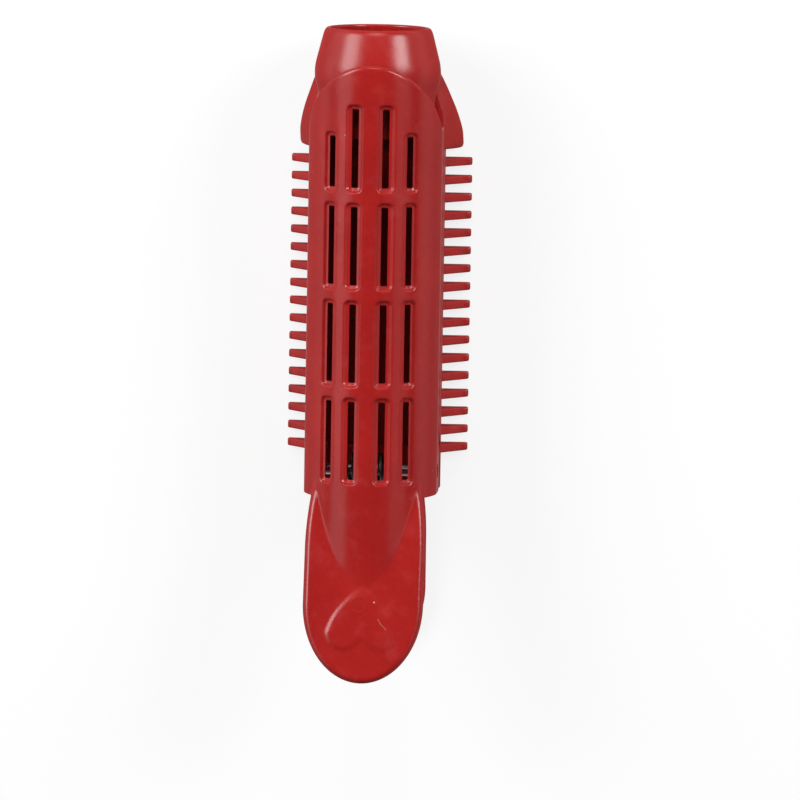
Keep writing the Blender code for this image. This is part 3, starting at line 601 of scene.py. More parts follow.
class Finish(Recipe):
    """A material that is mixed for one moulding or one metal."""

    def __init__(self, name, roughness, metallic=0.0):
        self.material = bpy.data.materials.new(name)
        self.material.use_nodes = True
        super().__init__(self.material.node_tree)
        self.shader = self.tree.nodes["Principled BSDF"]
        self.set("Roughness", roughness)
        self.set("Metallic", metallic)
        self.places = self.node("ShaderNodeTexCoord").outputs["Object"]

    def set(self, name, value):
        self.feed(self.shader.inputs[name], value)

    def noise(self, scale, detail=2.0, stretch=(1.0, 1.0, 1.0)):
        places = self.node("ShaderNodeMapping", Vector=self.places, Scale=stretch).outputs["Vector"]
        return self.amount(0, "ShaderNodeTexNoise", Vector=places, Scale=scale, Detail=detail)

    def specks(self, spacing, size, share, seed):
        """1 inside small scattered specks, of which only a share of the cells holds one."""
        shifted = self.node("ShaderNodeMapping", Vector=self.places, Location=(seed, seed / 3, 0.0))
        cells = self.node("ShaderNodeTexVoronoi", Vector=shifted.outputs["Vector"], Scale=1 / spacing)
        colours = self.node("ShaderNodeSeparateColor", Color=cells.outputs["Color"])
        chosen = Amount(self, colours.outputs[0]).step_between(1 - share, 1 - share + SPECK_STEP_SHARE)
        grown = (1 - SMALLEST_SPECK_SHARE) * Amount(self, colours.outputs[1])
        reach = (SMALLEST_SPECK_SHARE + grown) * (size / spacing)
        near = Amount(self, cells.outputs["Distance"]) / reach
        return chosen * (1 - near.step_between(SPECK_CORE_SHARE, 1.0))

    def vector(self, operation, *values, **named):
        return self.node("ShaderNodeVectorMath", {"operation": operation}, *values, **named).outputs

    def distance(self, place):
        """How far the surface is from a place."""
        return Amount(self, self.vector("DISTANCE", self.places, place)["Value"])

    def distance_to_line(self, start, end):
        """How far the surface is from the line between two places."""
        run = end - start
        away = self.vector("SUBTRACT", self.places, start)[0]
        share = Amount(self, self.vector("DOT_PRODUCT", away, run)["Value"]) / run.length_squared
        share = share.sum("MINIMUM", share.sum("MAXIMUM", share, 0.0), 1.0)
        step = self.vector("SCALE", run, Scale=share)[0]
        return Amount(self, self.vector("DISTANCE", away, step)["Value"])

    def mix(self, share, first, second):
        """A colour between two others."""
        made = self.node("ShaderNodeMix", {"data_type": "RGBA"})
        sockets = [socket for socket in made.inputs if socket.enabled]
        for socket, value in zip(sockets, (share, first, second)):
            self.feed(socket, value)
        return [socket for socket in made.outputs if socket.enabled][0]

    def relief(self, height):
        """Bumps of a height in metres."""
        bump = self.node("ShaderNodeBump", Height=height, Distance=1.0, Strength=1.0)
        self.set("Normal", bump.outputs["Normal"])


# Noise scales are waves to the metre, and each range is where a soft step starts and ends
RED = (0.41, 0.0142, 0.012, 1.0)
DEEP_RED = (0.335, 0.0098, 0.0092, 1.0)
# The pale red is a painted sheen, mixed into the colour in random patches
PAINTED_SHEEN = (0.45, 0.038, 0.039, 1.0)
DUST = (0.70, 0.36, 0.34, 1.0)
CLOUD_SCALE = 90.0
CLOUD_DETAIL = 3.0
CLOUD_SHARE = 0.6
DRIFT_SCALE = 260.0
DRIFT_STRETCH = (1.0, 0.2, 1.0)
MOTTLE_SCALE = 1500.0
MOTTLE_SHARE = 0.35
TONE_RANGE = (0.42, 0.9)
PAINTED_SHEEN_SCALE = 330.0
PAINTED_SHEEN_RANGE = (0.5, 0.78)
PAINTED_SHEEN_SHARE = 0.32
SPECK_STEP_SHARE = 0.001
SPECK_CORE_SHARE = 0.6
SMALLEST_SPECK_SHARE = 0.35
FINE_DUST = {"spacing": 0.0029, "size": 0.00014, "share": 0.3, "seed": 0.7}
COARSE_DUST = {"spacing": 0.0074, "size": 0.0002, "share": 0.25, "seed": 1.9}
DUST_SHARE = 0.6
GRAIN_SCALE = 3200.0
GRAIN_HEIGHT = 0.000006
PEEL_SCALE = 900.0
PEEL_HEIGHT = 0.000007
SMEAR_SCALE = 140.0
SMEAR_DETAIL = 4.0
SMEAR_STRETCH = (1.0, 0.45, 1.0)
POLISH = 0.06
SMEAR_DULLNESS = 0.09
SHEEN_PATCH_DULLNESS = 0.05
DUST_DULLNESS = 0.25
GRAZING_RANGE = (0.15, 0.6)
GRAZING_DULLNESS = 0.6
EDGE_RANGE = (0.8, 0.94)
EDGE_GLOSS_SHARE = 0.6
GLOSS_LEVEL_SHARE = 0.42
COVER_ROUGHNESS = 0.24


def red_moulding(name, roughness, marks=None):
    """Satin plastic that has been handled: clouded in patches, mottled closer up, with some dust.

    Pale patches of painted sheen lie in its colour, and its gloss is a little duller there.
    The fine grain hides its gloss where it is seen at a low angle, but less where it is seen edge-on.
    A piece may have marks of its own: their relief, and how pale they look.
    """
    finish = Finish(name, roughness)
    finish.set("Specular IOR Level", GLOSS_LEVEL_SHARE)
    clouds = finish.noise(CLOUD_SCALE, CLOUD_DETAIL)
    drift = finish.noise(DRIFT_SCALE, stretch=DRIFT_STRETCH)
    mottle = finish.noise(MOTTLE_SCALE)
    painted_sheen_patches = finish.noise(PAINTED_SHEEN_SCALE, CLOUD_DETAIL).step_between(*PAINTED_SHEEN_RANGE)
    dust = finish.specks(**FINE_DUST) + finish.specks(**COARSE_DUST)
    tone = clouds * CLOUD_SHARE + drift * MOTTLE_SHARE + mottle * MOTTLE_SHARE
    tone = finish.mix(tone.step_between(*TONE_RANGE), DEEP_RED, RED)
    # Pale patches of painted sheen over the red; the same patches are made a little duller below
    tone = finish.mix(painted_sheen_patches * PAINTED_SHEEN_SHARE, tone, PAINTED_SHEEN)
    grain = finish.noise(GRAIN_SCALE)
    height = (grain + drift) * GRAIN_HEIGHT + finish.noise(PEEL_SCALE) * PEEL_HEIGHT
    light = dust
    if marks:
        relief, paleness = marks(finish)
        height = height + relief
        light = light + paleness
    finish.set("Base Color", finish.mix(light * DUST_SHARE, tone, DUST))
    smears = finish.noise(SMEAR_SCALE, SMEAR_DETAIL, SMEAR_STRETCH)
    facing = finish.amount("Facing", "ShaderNodeLayerWeight", Blend=0.5)
    edge_on = facing.step_between(*EDGE_RANGE) * EDGE_GLOSS_SHARE
    dulled = facing.step_between(*GRAZING_RANGE) * (1 - edge_on) * GRAZING_DULLNESS
    handled = roughness - POLISH + smears * SMEAR_DULLNESS + painted_sheen_patches * SHEEN_PATCH_DULLNESS
    finish.set("Roughness", handled + dust * DUST_DULLNESS + dulled)
    finish.relief(height)
    return finish


# A plain heart stands up a little on the tab, with its point towards the cover
HEART_TIP_STATION = 0.0891
HEART_LENGTH = 0.0111
HEART_HALF_WIDTH = 0.00625
HEART_LEFT_RISE = 0.00034
HEART_RIGHT_RISE = 0.00009
HEART_SLOPE = 0.0013
HEART_STEPS = 16
HEART_REACH = 0.0002

# Half the heart from its tip to its cleft, as shares of its half-width and of its length
HEART_SHARES = (
    (0.0, 0.0), (0.21, 0.07), (0.45, 0.18), (0.78, 0.4), (0.97, 0.62), (1.0, 0.74), (0.9, 0.88),
    (0.7, 0.97), (0.46, 1.0), (0.2, 0.955), (0.0, 0.86),
)
corners = [Vector((x * HEART_HALF_WIDTH, HEART_TIP_STATION + s * HEART_LENGTH)) for x, s in HEART_SHARES]
heart = []
for index in range(len(corners) - 1):
    near, far = corners[index], corners[index + 1]
    before = corners[index - 1] if index else near
    after = corners[min(index + 2, len(corners) - 1)]
    lean_in, lean_out = (far - before) / 2, (after - near) / 2
    for share in shares(HEART_STEPS)[:-1]:
        heart.append(
            near * (1 + 2 * share) * (1 - share) ** 2 + far * (3 - 2 * share) * share**2
            + lean_in * share * (1 - share) ** 2 - lean_out * share**2 * (1 - share)
        )
heart.append(corners[-1])
heart = np.array([tuple(point) for point in heart] + mirrored(heart[1:-1][::-1]))
heart_next = np.roll(heart, -1, axis=0)


def heart_rise(x, station):
    """Height of the heart at a place on the tab: nothing outside, then a soft slope up to its top.

    Its left side stands up more than its right one.
    """
    spot = np.array((x, station))
    run = heart_next - heart
    share = np.clip(((spot - heart) * run).sum(axis=1) / (run**2).sum(axis=1), 0.0, 1.0)
    near = np.linalg.norm(heart + run * share[:, None] - spot, axis=1).min()
    crossed = (heart[:, 1] > station) != (heart_next[:, 1] > station)
    span = np.where(run[:, 1] == 0, 1.0, run[:, 1])
    at = heart[:, 0] + (station - heart[:, 1]) / span * run[:, 0]
    if (crossed & (x < at)).sum() % 2 == 0:
        return 0.0
    full_rise = lerp(HEART_LEFT_RISE, HEART_RIGHT_RISE, (1 + x / HEART_HALF_WIDTH) / 2)
    return full_rise * eased(near / HEART_SLOPE)


# The tab bears a faint round mark where the mould was filled, a short scratch and a fleck
GATE_PLACE = (-0.0005, 0.09245)
GATE_RADIUS = 0.00125
GATE_RING_HALF_WIDTH = 0.0003
GATE_HEIGHT = 0.00003
SCRATCH_PLACES = ((0.0026, 0.0946), (0.0031, 0.0954), (0.004, 0.09625))
SCRATCH_HALF_WIDTH = 0.0001
SCRATCH_DEPTH = 0.000012
SCRATCH_PALENESS = 0.6
FLECK_PLACE = (0.0019, 0.09197)
FLECK_RADIUS = 0.00018
FLECK_PALENESS = 1.5


def on_tab(place):
    """A spot on top of the tab, from its place across and its station."""
    across, station = place
    rise = tab_rise(station) + heart_rise(across, station)
    return Vector((across, y_at(station), COVER_AXIS_HEIGHT + rise))


def tab_marks(finish):
    """The relief of the filling mark and the scratch, and how pale the scratch and the fleck are."""
    from_gate = finish.distance(on_tab(GATE_PLACE))
    off_ring = from_gate.sum("ABSOLUTE", from_gate - GATE_RADIUS)
    ring = 1 - off_ring.step_between(0.0, GATE_RING_HALF_WIDTH)
    fleck = 1 - finish.distance(on_tab(FLECK_PLACE)).step_between(FLECK_RADIUS / 2, FLECK_RADIUS)
    lines = []
    for start, end in zip(SCRATCH_PLACES, SCRATCH_PLACES[1:]):
        away = finish.distance_to_line(on_tab(start), on_tab(end))
        lines.append(1 - away.step_between(0.0, SCRATCH_HALF_WIDTH))
    scratch = lines[0].sum("MAXIMUM", *lines)
    return ring * GATE_HEIGHT - scratch * SCRATCH_DEPTH, fleck * FLECK_PALENESS + scratch * SCRATCH_PALENESS


heart_start, heart_end = heart[:, 1].min(), heart[:, 1].max()
for knot in shell.verts:
    station = CLIP_LENGTH / 2 - knot.co.y
    if heart_start < station < heart_end and abs(knot.co.x) < HEART_HALF_WIDTH:
        if knot.co.z > COVER_AXIS_HEIGHT + tab_rise(station) - HEART_REACH:
            knot.co.z += heart_rise(knot.co.x, station)
cover = piece_from("cover_shell", shell)

# Round holes through both flanks take the ends of the hinge pin
PIN_STATION = 0.072
PIN_BORE_RADIUS = 0.0012
BORE_STEPS = 64
COMB_AXIS_HEIGHT = 0.0116


def baked(piece):
    """The piece with its modifiers worked into its mesh."""
    graph = bpy.context.evaluated_depsgraph_get()
    data = bpy.data.meshes.new_from_object(piece.evaluated_get(graph))
    piece.modifiers.clear()
    piece.data = data
    return piece


bore_mesh = bmesh.new()
pin_place = Vector((0.0, y_at(PIN_STATION), COMB_AXIS_HEIGHT))
bmesh.ops.create_cone(
    bore_mesh, cap_ends=True, segments=BORE_STEPS, radius1=PIN_BORE_RADIUS, radius2=PIN_BORE_RADIUS,
    depth=4 * COVER_RADIUS, matrix=Matrix.Translation(pin_place) @ Matrix.Rotation(QUARTER_TURN, 4, "Y"),
)
bore = piece_from("pin_bore", bore_mesh)
cut = cover.modifiers.new("bore", "BOOLEAN")
cut.operation = "DIFFERENCE"
cut.solver = "EXACT"
cut.object = bore
cover = baked(cover)
bpy.data.objects.remove(bore)
dress(cover, red_moulding("cover_red_plastic", COVER_ROUGHNESS, tab_marks), MOULDING_CREASE)
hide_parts("cover_jaw")
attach(cover, "cover")

# The comb jaw is a second moulding in the same dark red plastic: a round collar whose barrel opens into a
# square-shouldered trough, with a flared wing each side of the barrel. It lies under the cover and carries
# the hinge ears on its floor.
COMB_ROUGHNESS = 0.29
COLLAR_STEPS = 144
BEND_STEPS = 6
BEND_LIMIT_SHARE = 0.49
LEDGE_HEIGHT = 0.0108
TROUGH_WALL = 0.0015
TROUGH_CORNER = 0.0055
TROUGH_HALF_WIDTH = 0.0108
SHOULDER_STATION = 0.0071
TROUGH_START = 0.0075
TROUGH_SPREAD_STATION = 0.0084
TROUGH_FULL_STATION = 0.0145
TROUGH_HOLLOW_STATION = 0.016
TROUGH_EDGE_ROUND = 0.00025
TROUGH_ROWS = 22
TROUGH_TUCK = 0.0001
TROUGH_STEP = 0.00001
HINGE_SLANT_START = 0.0652
HINGE_SLANT_END = 0.0683
HINGE_WALL_HEIGHT = 0.006325
BELLY_ROWS = 14
WALL_STEPS = 8
ROUND_STEPS = 10
FLOOR_STEPS = 4
END_ROUND = 0.0003

# Each corner of a profile is a radius, a station and how far back from the corner its bend starts
COLLAR_OUTSIDE = (
    (0.00862, 0.0, 0.0012), (0.0105, 0.0073, 0.0024), (0.0094, 0.0107, 0.0016),
    (0.00895, 0.0167, 0.0004), (0.00895, 0.0175, 0.0002),
)
COLLAR_INSIDE = (
    (0.00775, 0.0175, 0.0002), (0.00775, 0.0167, 0.0004), (0.0082, 0.0107, 0.0018),
    (0.0092, 0.0071, 0.0009), (0.0076, 0.0, 0.0005),
)


def bent(corners):
    """A closed outline through corners, each rounded off from a distance before it to one after."""
    points = []
    for index, (a, b, cut) in enumerate(corners):
        corner = Vector((a, b))
        before = Vector(corners[index - 1][:2]) - corner
        after = Vector(corners[(index + 1) % len(corners)][:2]) - corner
        start = before.normalized() * min(cut, before.length * BEND_LIMIT_SHARE)
        end = after.normalized() * min(cut, after.length * BEND_LIMIT_SHARE)
        for share in shares(BEND_STEPS):
            points.append(tuple(corner + start * (1 - share) ** 2 + end * share**2))
    return points


def add_turned(mesh, profile, steps, place):
    """A closed profile turned all the way round. The place function gives a point for each angle."""
    rings = [[place(a, b, math.tau * share) for a, b in profile] for share in shares(steps)[:-1]]
    knots = add_bands(mesh, rings, True)
    join_rows(mesh, knots[-1], knots[0], True)


def comb_place(radius, station, angle):
    return (radius * math.sin(angle), y_at(station), COMB_AXIS_HEIGHT + radius * math.cos(angle))


comb = bmesh.new()
add_turned(comb, bent(COLLAR_OUTSIDE + COLLAR_INSIDE), COLLAR_STEPS, comb_place)
collar_line = sorted((s, r) for r, s in bent(COLLAR_OUTSIDE) if r > COLLAR_OUTSIDE[0][0])


def collar_radius(station):
    """Outer radius of the collar and its barrel."""
    for (first, near), (last, far) in zip(collar_line, collar_line[1:]):
        if first <= station <= last:
            return lerp(near, far, (station - first) / (last - first))
    return COLLAR_OUTSIDE[-1][0]


def ledge_height(station):
    """Height of the trough's walls, which step down to clear the cover's hinge ears."""
    share = (station - HINGE_SLANT_START) / (HINGE_SLANT_END - HINGE_SLANT_START)
    return lerp(LEDGE_HEIGHT, HINGE_WALL_HEIGHT, clipped(share))


def trough_skin(half_width, low, corner, top, way):
    """Half a U-shaped skin, from its wall's rounded top to the middle of its floor."""
    diagonal = TROUGH_EDGE_ROUND * (1 - math.sqrt(0.5))
    wall_top = top - TROUGH_EDGE_ROUND
    points = [(half_width - way * TROUGH_EDGE_ROUND, top), (half_width - way * diagonal, top - diagonal)]
    points += [(half_width, lerp(wall_top, low + corner, share)) for share in shares(WALL_STEPS)]
    centre = half_width - corner
    for turn in quarter_turns(ROUND_STEPS, 1):
        points.append((centre + corner * math.cos(turn), low + corner - corner * math.sin(turn)))
    return points + [(centre * (1 - share), low) for share in shares(FLOOR_STEPS, 1)]


def trough_spread(station):
    """How far the trough has opened out from the barrel: 0 in front, 1 at its full section."""
    return eased((station - TROUGH_SPREAD_STATION) / (TROUGH_FULL_STATION - TROUGH_SPREAD_STATION))


def barrel_half_width(station):
    return collar_radius(station) - TROUGH_EDGE_ROUND


def trough_half_width(station):
    return lerp(barrel_half_width(station), TROUGH_HALF_WIDTH, trough_spread(station))


def trough_ring(station, inset, hollow):
    """The trough's whole section at a station. Near its ends the section draws in by an inset."""
    spread = trough_spread(station)
    start = barrel_half_width(station)
    half_width = trough_half_width(station)
    corner = min(lerp(start, TROUGH_CORNER, spread), half_width)
    top = ledge_height(station) - inset
    low = COMB_AXIS_HEIGHT - lerp(start, COMB_AXIS_HEIGHT, spread)
    if hollow:
        inner_half_width = half_width - TROUGH_WALL
        inner_low = low + TROUGH_WALL
        inner_corner = corner - TROUGH_WALL
    else:
        inner_half_width = inner_corner = collar_radius(station) - TROUGH_WALL / 2
        inner_low = COMB_AXIS_HEIGHT - inner_half_width
    outside = trough_skin(half_width - inset, low + inset, corner - inset, top, 1)
    inside = trough_skin(inner_half_width + inset, inner_low - inset, inner_corner + inset, top, -1)
    section = outside + mirrored(outside[::-1])[1:] + mirrored(inside) + inside[::-1][1:]
    return [(x, y_at(station), z) for x, z in section]


def add_rings(mesh, rings, ends=(0, -1)):
    """A closed body through rings of places. Its ends are closed by a ladder of faces, side to side."""
    knots = add_bands(mesh, rings, True)
    for ring in (knots[end] for end in ends):
        half = len(ring) // 2
        join_rows(mesh, ring[:half], ring[::-1][:half])
        if len(ring) % 2:
            mesh.faces.new(ring[half - 1:half + 2])


def add_merged_rings(mesh, rings, ends=(0, -1)):
    """A body through rings of places, some of which fall together and are merged."""
    body = bmesh.new()
    add_rings(body, rings, ends)
    bmesh.ops.remove_doubles(body, verts=body.verts, dist=MERGE_DISTANCE)
    bmesh.ops.dissolve_degenerate(body, edges=body.edges, dist=MERGE_DISTANCE)
    data = bpy.data.meshes.new("body")
    body.to_mesh(data)
    body.free()
    mesh.from_mesh(data)
    bpy.data.meshes.remove(data)


def rounded_off(last_station):
    """The stations and insets that round off a body's end."""
    places = []
    for turn in quarter_turns(BEND_STEPS - 1, 1):
        station = last_station - END_ROUND + END_ROUND * math.sin(turn)
        places.append((station, END_ROUND * (1 - math.cos(turn))))
    return places


belly = [lerp(TROUGH_START, TROUGH_HOLLOW_STATION, share) for share in shares(BELLY_ROWS)]
add_merged_rings(comb, [trough_ring(station, 0.0, False) for station in belly])
trough = [(TROUGH_HOLLOW_STATION - TROUGH_TUCK, TROUGH_TUCK / 2)]
for share in shares(TROUGH_ROWS)[:-1]:
    trough.append((lerp(TROUGH_HOLLOW_STATION, HINGE_SLANT_START, share) + TROUGH_STEP, 0.0))
trough += [(HINGE_SLANT_START, 0.0), (HINGE_SLANT_END, 0.0), (FLANK_STATION - END_ROUND, 0.0)]
add_rings(comb, [trough_ring(*place, True) for place in trough + rounded_off(FLANK_STATION)])

# Each wing is a thin curved plate that leaves the shoulder and flares down to just above the table
WING_END_STATION = 0.0201
WING_FLARE_STATION = 0.0176
WING_HALF_WIDTH = 0.0135
WING_SLANT = 0.0004
WING_TABLE_GAP = 0.0006
WING_WALL = 0.001
WING_THINNEST_SHARE = 0.35
WING_THICKENING = 2.5
WING_BULGE = 0.00035
WING_CORNER = 0.0008
WING_FLARE_POWER = 1.4
WING_ROWS = 26
WING_COLUMNS = 14
WING_TIP_STEPS = 6


def wing_ring(station, inset):
    """A wing's section: down its outside from the trough's wall, round its edge and back up inside.

    Its back end leans, so that the top ends nearer the collar than the low edge.
    """
    along = (station - SHOULDER_STATION) / (WING_END_STATION - SHOULDER_STATION)
    flare = min(1.0, (station - SHOULDER_STATION) / (WING_FLARE_STATION - SHOULDER_STATION))
    low_x = lerp(barrel_half_width(SHOULDER_STATION), WING_HALF_WIDTH, 1 - (1 - flare) ** WING_FLARE_POWER)
    past = max(0.0, station - (WING_END_STATION - WING_CORNER))
    low_x -= WING_CORNER - math.sqrt(max(0.0, WING_CORNER**2 - past**2))
    top_z = LEDGE_HEIGHT - TROUGH_EDGE_ROUND
    top = Vector((trough_half_width(station) - WING_WALL / 2, top_z))
    low = Vector((low_x, lerp(top_z - WING_WALL, WING_TABLE_GAP, along)))
    outside = []
    for share in shares(WING_COLUMNS):
        bulge = WING_BULGE * along * math.sin(math.pi * share)
        outside.append(lerp(top, low, share) + Vector((bulge, 0.0)))
    run = (outside[-1] - outside[0]).normalized()
    inward = Vector((run.y, -run.x))
    if inward.x > 0:
        inward = -inward
    wall = WING_WALL * min(1.0, max(WING_THINNEST_SHARE, WING_THICKENING * along)) - 2 * inset
    outside = [point + inward * inset for point in outside]
    centre = outside[-1] + inward * wall / 2 - run * (wall / 2 + inset)
    ring = outside[:-1]
    for share in shares(WING_TIP_STEPS):
        turn = math.pi * share
        ring.append(centre - inward * wall / 2 * math.cos(turn) + run * wall / 2 * math.sin(turn))
    ring += [point + inward * wall for point in reversed(outside[:-1])]
    rise = [(point.y - WING_TABLE_GAP) / (top_z - WING_TABLE_GAP) for point in ring]
    return [(p.x, y_at(station - WING_SLANT * along * high), p.y) for p, high in zip(ring, rise)]


wing = [(lerp(SHOULDER_STATION, WING_END_STATION - END_ROUND, share), 0.0) for share in shares(WING_ROWS)]
wing_rings = [wing_ring(*place) for place in wing + rounded_off(WING_END_STATION)]
add_merged_rings(comb, wing_rings)
add_merged_rings(comb, [[(-x, y, z) for x, y, z in ring] for ring in wing_rings])

# Two ears on the trough's floor carry the hinge pin, just inside the cover's flanks
EAR_REACH = 0.0029
EAR_FRONT_FOOT = 0.0044
EAR_BACK_FOOT = 0.0035
EAR_FOOT_DROP = 0.0105
EAR_OUTER_X = 0.00925
EAR_WALL = 0.0015
EAR_EDGE_ROUND = 0.0002
EAR_CHAMFER = EAR_EDGE_ROUND / 4
EAR_STEPS = 72

# Its section is an inset from its outline, or None on the bore, and a depth from its outer face
EAR_PROFILE = (
    (None, EAR_WALL), (None, 0.0), (EAR_EDGE_ROUND, 0.0), (EAR_CHAMFER, EAR_CHAMFER),
    (0.0, EAR_EDGE_ROUND), (0.0, EAR_WALL - EAR_EDGE_ROUND), (EAR_CHAMFER, EAR_WALL - EAR_CHAMFER),
    (EAR_EDGE_ROUND, EAR_WALL), (None, EAR_WALL),
)


def ear_reach(angle):
    """Distance from the pin's axis to the ear's outline. The angle runs from the front up and over."""
    forward, up = math.cos(angle), math.sin(angle)
    if up >= 0:
        return EAR_REACH
    foot_reach = EAR_FRONT_FOOT if forward > 0 else EAR_BACK_FOOT
    side = EAR_REACH / (abs(forward) + up * (foot_reach - EAR_REACH) / EAR_FOOT_DROP)
    floor = EAR_FOOT_DROP / -up
    return floor if side < 0 else min(side, floor)


for side in (-1, 1):
    loops = []
    for inset, depth in EAR_PROFILE:
        loop = []
        for share in shares(EAR_STEPS)[:-1]:
            angle = math.tau * share
            reach = PIN_BORE_RADIUS if inset is None else ear_reach(angle) - inset
            out = Vector((side * (EAR_OUTER_X - depth), reach * math.cos(angle), reach * math.sin(angle)))
            loop.append(pin_place + out)
        loops.append(loop)
    add_bands(comb, loops, True)

# The lower thumb tab runs out of the trough's floor under the upper one
LOWER_TAB_STATION = 0.069
LOWER_TAB_INSET = 0.0014
LOWER_TAB_SLOPE = 0.03
LOWER_TAB_WALL = 0.0016
LOWER_TAB_END_TOP = 0.0018
LOWER_TAB_ROUND = 0.0006
LOWER_TAB_ROWS = 30
LOWER_TAB_END_ROWS = 40
LOWER_TAB_COLUMNS = 10


def lower_tab_top(station):
    return LOWER_TAB_END_TOP + LOWER_TAB_SLOPE * (CLIP_LENGTH - station)


lower_edge = []
for share in shares(2 * BEND_STEPS):
    turn = math.pi * share
    lower_edge.append((LOWER_TAB_ROUND * (1 - math.sin(turn)), LOWER_TAB_WALL / 2 * (1 - math.cos(turn))))
lower_places = []
for share in shares(LOWER_TAB_ROWS)[:-1]:
    station = lerp(LOWER_TAB_STATION, TAB_ROUND_START, share)
    lower_places.append((tab_half_width(station) - LOWER_TAB_INSET, station, Vector((1.0, 0.0))))
lower_places += round_end(
    TAB_HALF_WIDTH - LOWER_TAB_INSET, TAB_END_LENGTH - LOWER_TAB_INSET, LOWER_TAB_END_ROWS
)
lower_rings = []
for half_width, station, facing in lower_places:
    top = lower_tab_top(station)
    edge = []
    for inset, depth in lower_edge:
        edge.append((max(0.0, half_width - facing.x * inset), station - facing.y * inset, top - depth))
    (top_x, top_s, top_z), (low_x, low_s, low_z) = edge[0], edge[-1]
    columns = shares(LOWER_TAB_COLUMNS)[:-1]
    ring = [(top_x * (2 * share - 1), top_s, top_z) for share in columns] + edge
    ring += [(low_x * (1 - 2 * share), low_s, low_z) for share in columns[1:]]
    ring += [(-x, s, z) for x, s, z in reversed(edge[1:])]
    lower_rings.append([(x, y_at(s), z) for x, s, z in ring])
add_merged_rings(comb, lower_rings, ends=(0,))

comb_body = piece_from("comb_moulding", comb)
comb_finish = red_moulding("comb_red_plastic", COMB_ROUGHNESS)
dress(comb_body, comb_finish, MOULDING_CREASE)
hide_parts("comb_jaw")
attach(comb_body, "comb")

# Seventeen teeth down each side comb the root of the hair. Each is a thin gusset that grows out of the
# trough's rounded corner and falls to a blunt tip just above the table.
FIRST_TOOTH_STATION = 0.02222
TOOTH_PITCH = 0.00293
TEETH_PER_SIDE = 17
TOOTH_ROOT_X = 0.0093
TOOTH_TIP_X = 0.0148
TOOTH_ROOT_HALF = 0.00072
TOOTH_TIP_HALF = 0.00064
TOOTH_ROOT_TOP = 0.0068
TOOTH_TIP_TOP = 0.0013
TOOTH_ROOT_LOW = 0.0014
TOOTH_TIP_LOW = 0.0004
TOOTH_ROUND = 0.00028
TOOTH_COLUMNS = 7
TOOTH_TIP_COLUMNS = 3
TOOTH_CORNER_STEPS = 3
TOOTH_CREASE = math.radians(50)


def tooth_ring(x, half, low, top, corner):
    """A tooth's rounded oblong section, square to the way that it reaches out."""
    ring = []
    across, up = half - corner, (top - low) / 2 - corner
    for quarter, (y, z) in enumerate(((across, up), (-across, up), (-across, -up), (across, -up))):
        for step in range(TOOTH_CORNER_STEPS + 1):
            turn = QUARTER_TURN * (quarter + step / TOOTH_CORNER_STEPS)
            ring.append((x, y + corner * math.cos(turn), (low + top) / 2 + z + corner * math.sin(turn)))
    return ring


root = (TOOTH_ROOT_X, TOOTH_ROOT_HALF, TOOTH_ROOT_LOW, TOOTH_ROOT_TOP)
tip = (TOOTH_TIP_X - TOOTH_ROUND, TOOTH_TIP_HALF, TOOTH_TIP_LOW, TOOTH_TIP_TOP)
tooth_rings = []
for share in shares(TOOTH_COLUMNS):
    tooth_rings.append(tooth_ring(*(lerp(near, far, share) for near, far in zip(root, tip)), TOOTH_ROUND))
for turn in quarter_turns(TOOTH_TIP_COLUMNS, 1):
    inset = TOOTH_ROUND * (1 - math.cos(turn))
    tooth_rings.append(tooth_ring(
        TOOTH_TIP_X - TOOTH_ROUND * (1 - math.sin(turn)), TOOTH_TIP_HALF - inset,
        TOOTH_TIP_LOW + inset, TOOTH_TIP_TOP - inset, max(TOOTH_ROUND - inset, TOOTH_ROUND / 3),
    ))
tooth_mesh = bmesh.new()
add_rings(tooth_mesh, tooth_rings)
teeth = piece_from("comb_teeth", tooth_mesh)

row_values = {
    "Start": ("NodeSocketVector", (0.0, y_at(FIRST_TOOTH_STATION), 0.0)),
    "Pitch": ("NodeSocketVector", (0.0, -TOOTH_PITCH, 0.0)),
    "Count": ("NodeSocketInt", TEETH_PER_SIDE),
    "Plastic": ("NodeSocketMaterial", comb_finish.material),
}
row_tree = bpy.data.node_groups.new("tooth_rows", "GeometryNodeTree")
row_tree.interface.new_socket("Geometry", in_out="INPUT", socket_type="NodeSocketGeometry")
row_inputs = {}
for name, (kind, value) in row_values.items():
    row_inputs[name] = row_tree.interface.new_socket(name, in_out="INPUT", socket_type=kind)
row_tree.interface.new_socket("Geometry", in_out="OUTPUT", socket_type="NodeSocketGeometry")
rows_recipe = Recipe(row_tree)
given = rows_recipe.node("NodeGroupInput").outputs
line = rows_recipe.node(
    "GeometryNodeMeshLine", Count=given["Count"], Start_Location=given["Start"], Offset=given["Pitch"]
)
row_joint = rows_recipe.node("GeometryNodeJoinGeometry")
for half_turn in (0.0, math.pi):
    placed = rows_recipe.node(
        "GeometryNodeInstanceOnPoints",
        Points=line.outputs["Mesh"], Instance=given["Geometry"], Rotation=(0.0, 0.0, half_turn),
    )
    row_tree.links.new(placed.outputs["Instances"], row_joint.inputs["Geometry"])
whole = rows_recipe.node("GeometryNodeRealizeInstances", Geometry=row_joint.outputs["Geometry"])
dressed = rows_recipe.node(
    "GeometryNodeSetMaterial", Geometry=whole.outputs["Geometry"], Material=given["Plastic"]
)
rows_recipe.node("NodeGroupOutput", Geometry=dressed.outputs["Geometry"])

rows_modifier = teeth.modifiers.new("rows", "NODES")
rows_modifier.node_group = row_tree
for name, (kind, value) in row_values.items():
    rows_modifier[row_inputs[name].identifier] = value
teeth = baked(teeth)
smooth(teeth, TOOTH_CREASE)
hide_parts("comb_jaw")
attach(teeth, "comb")

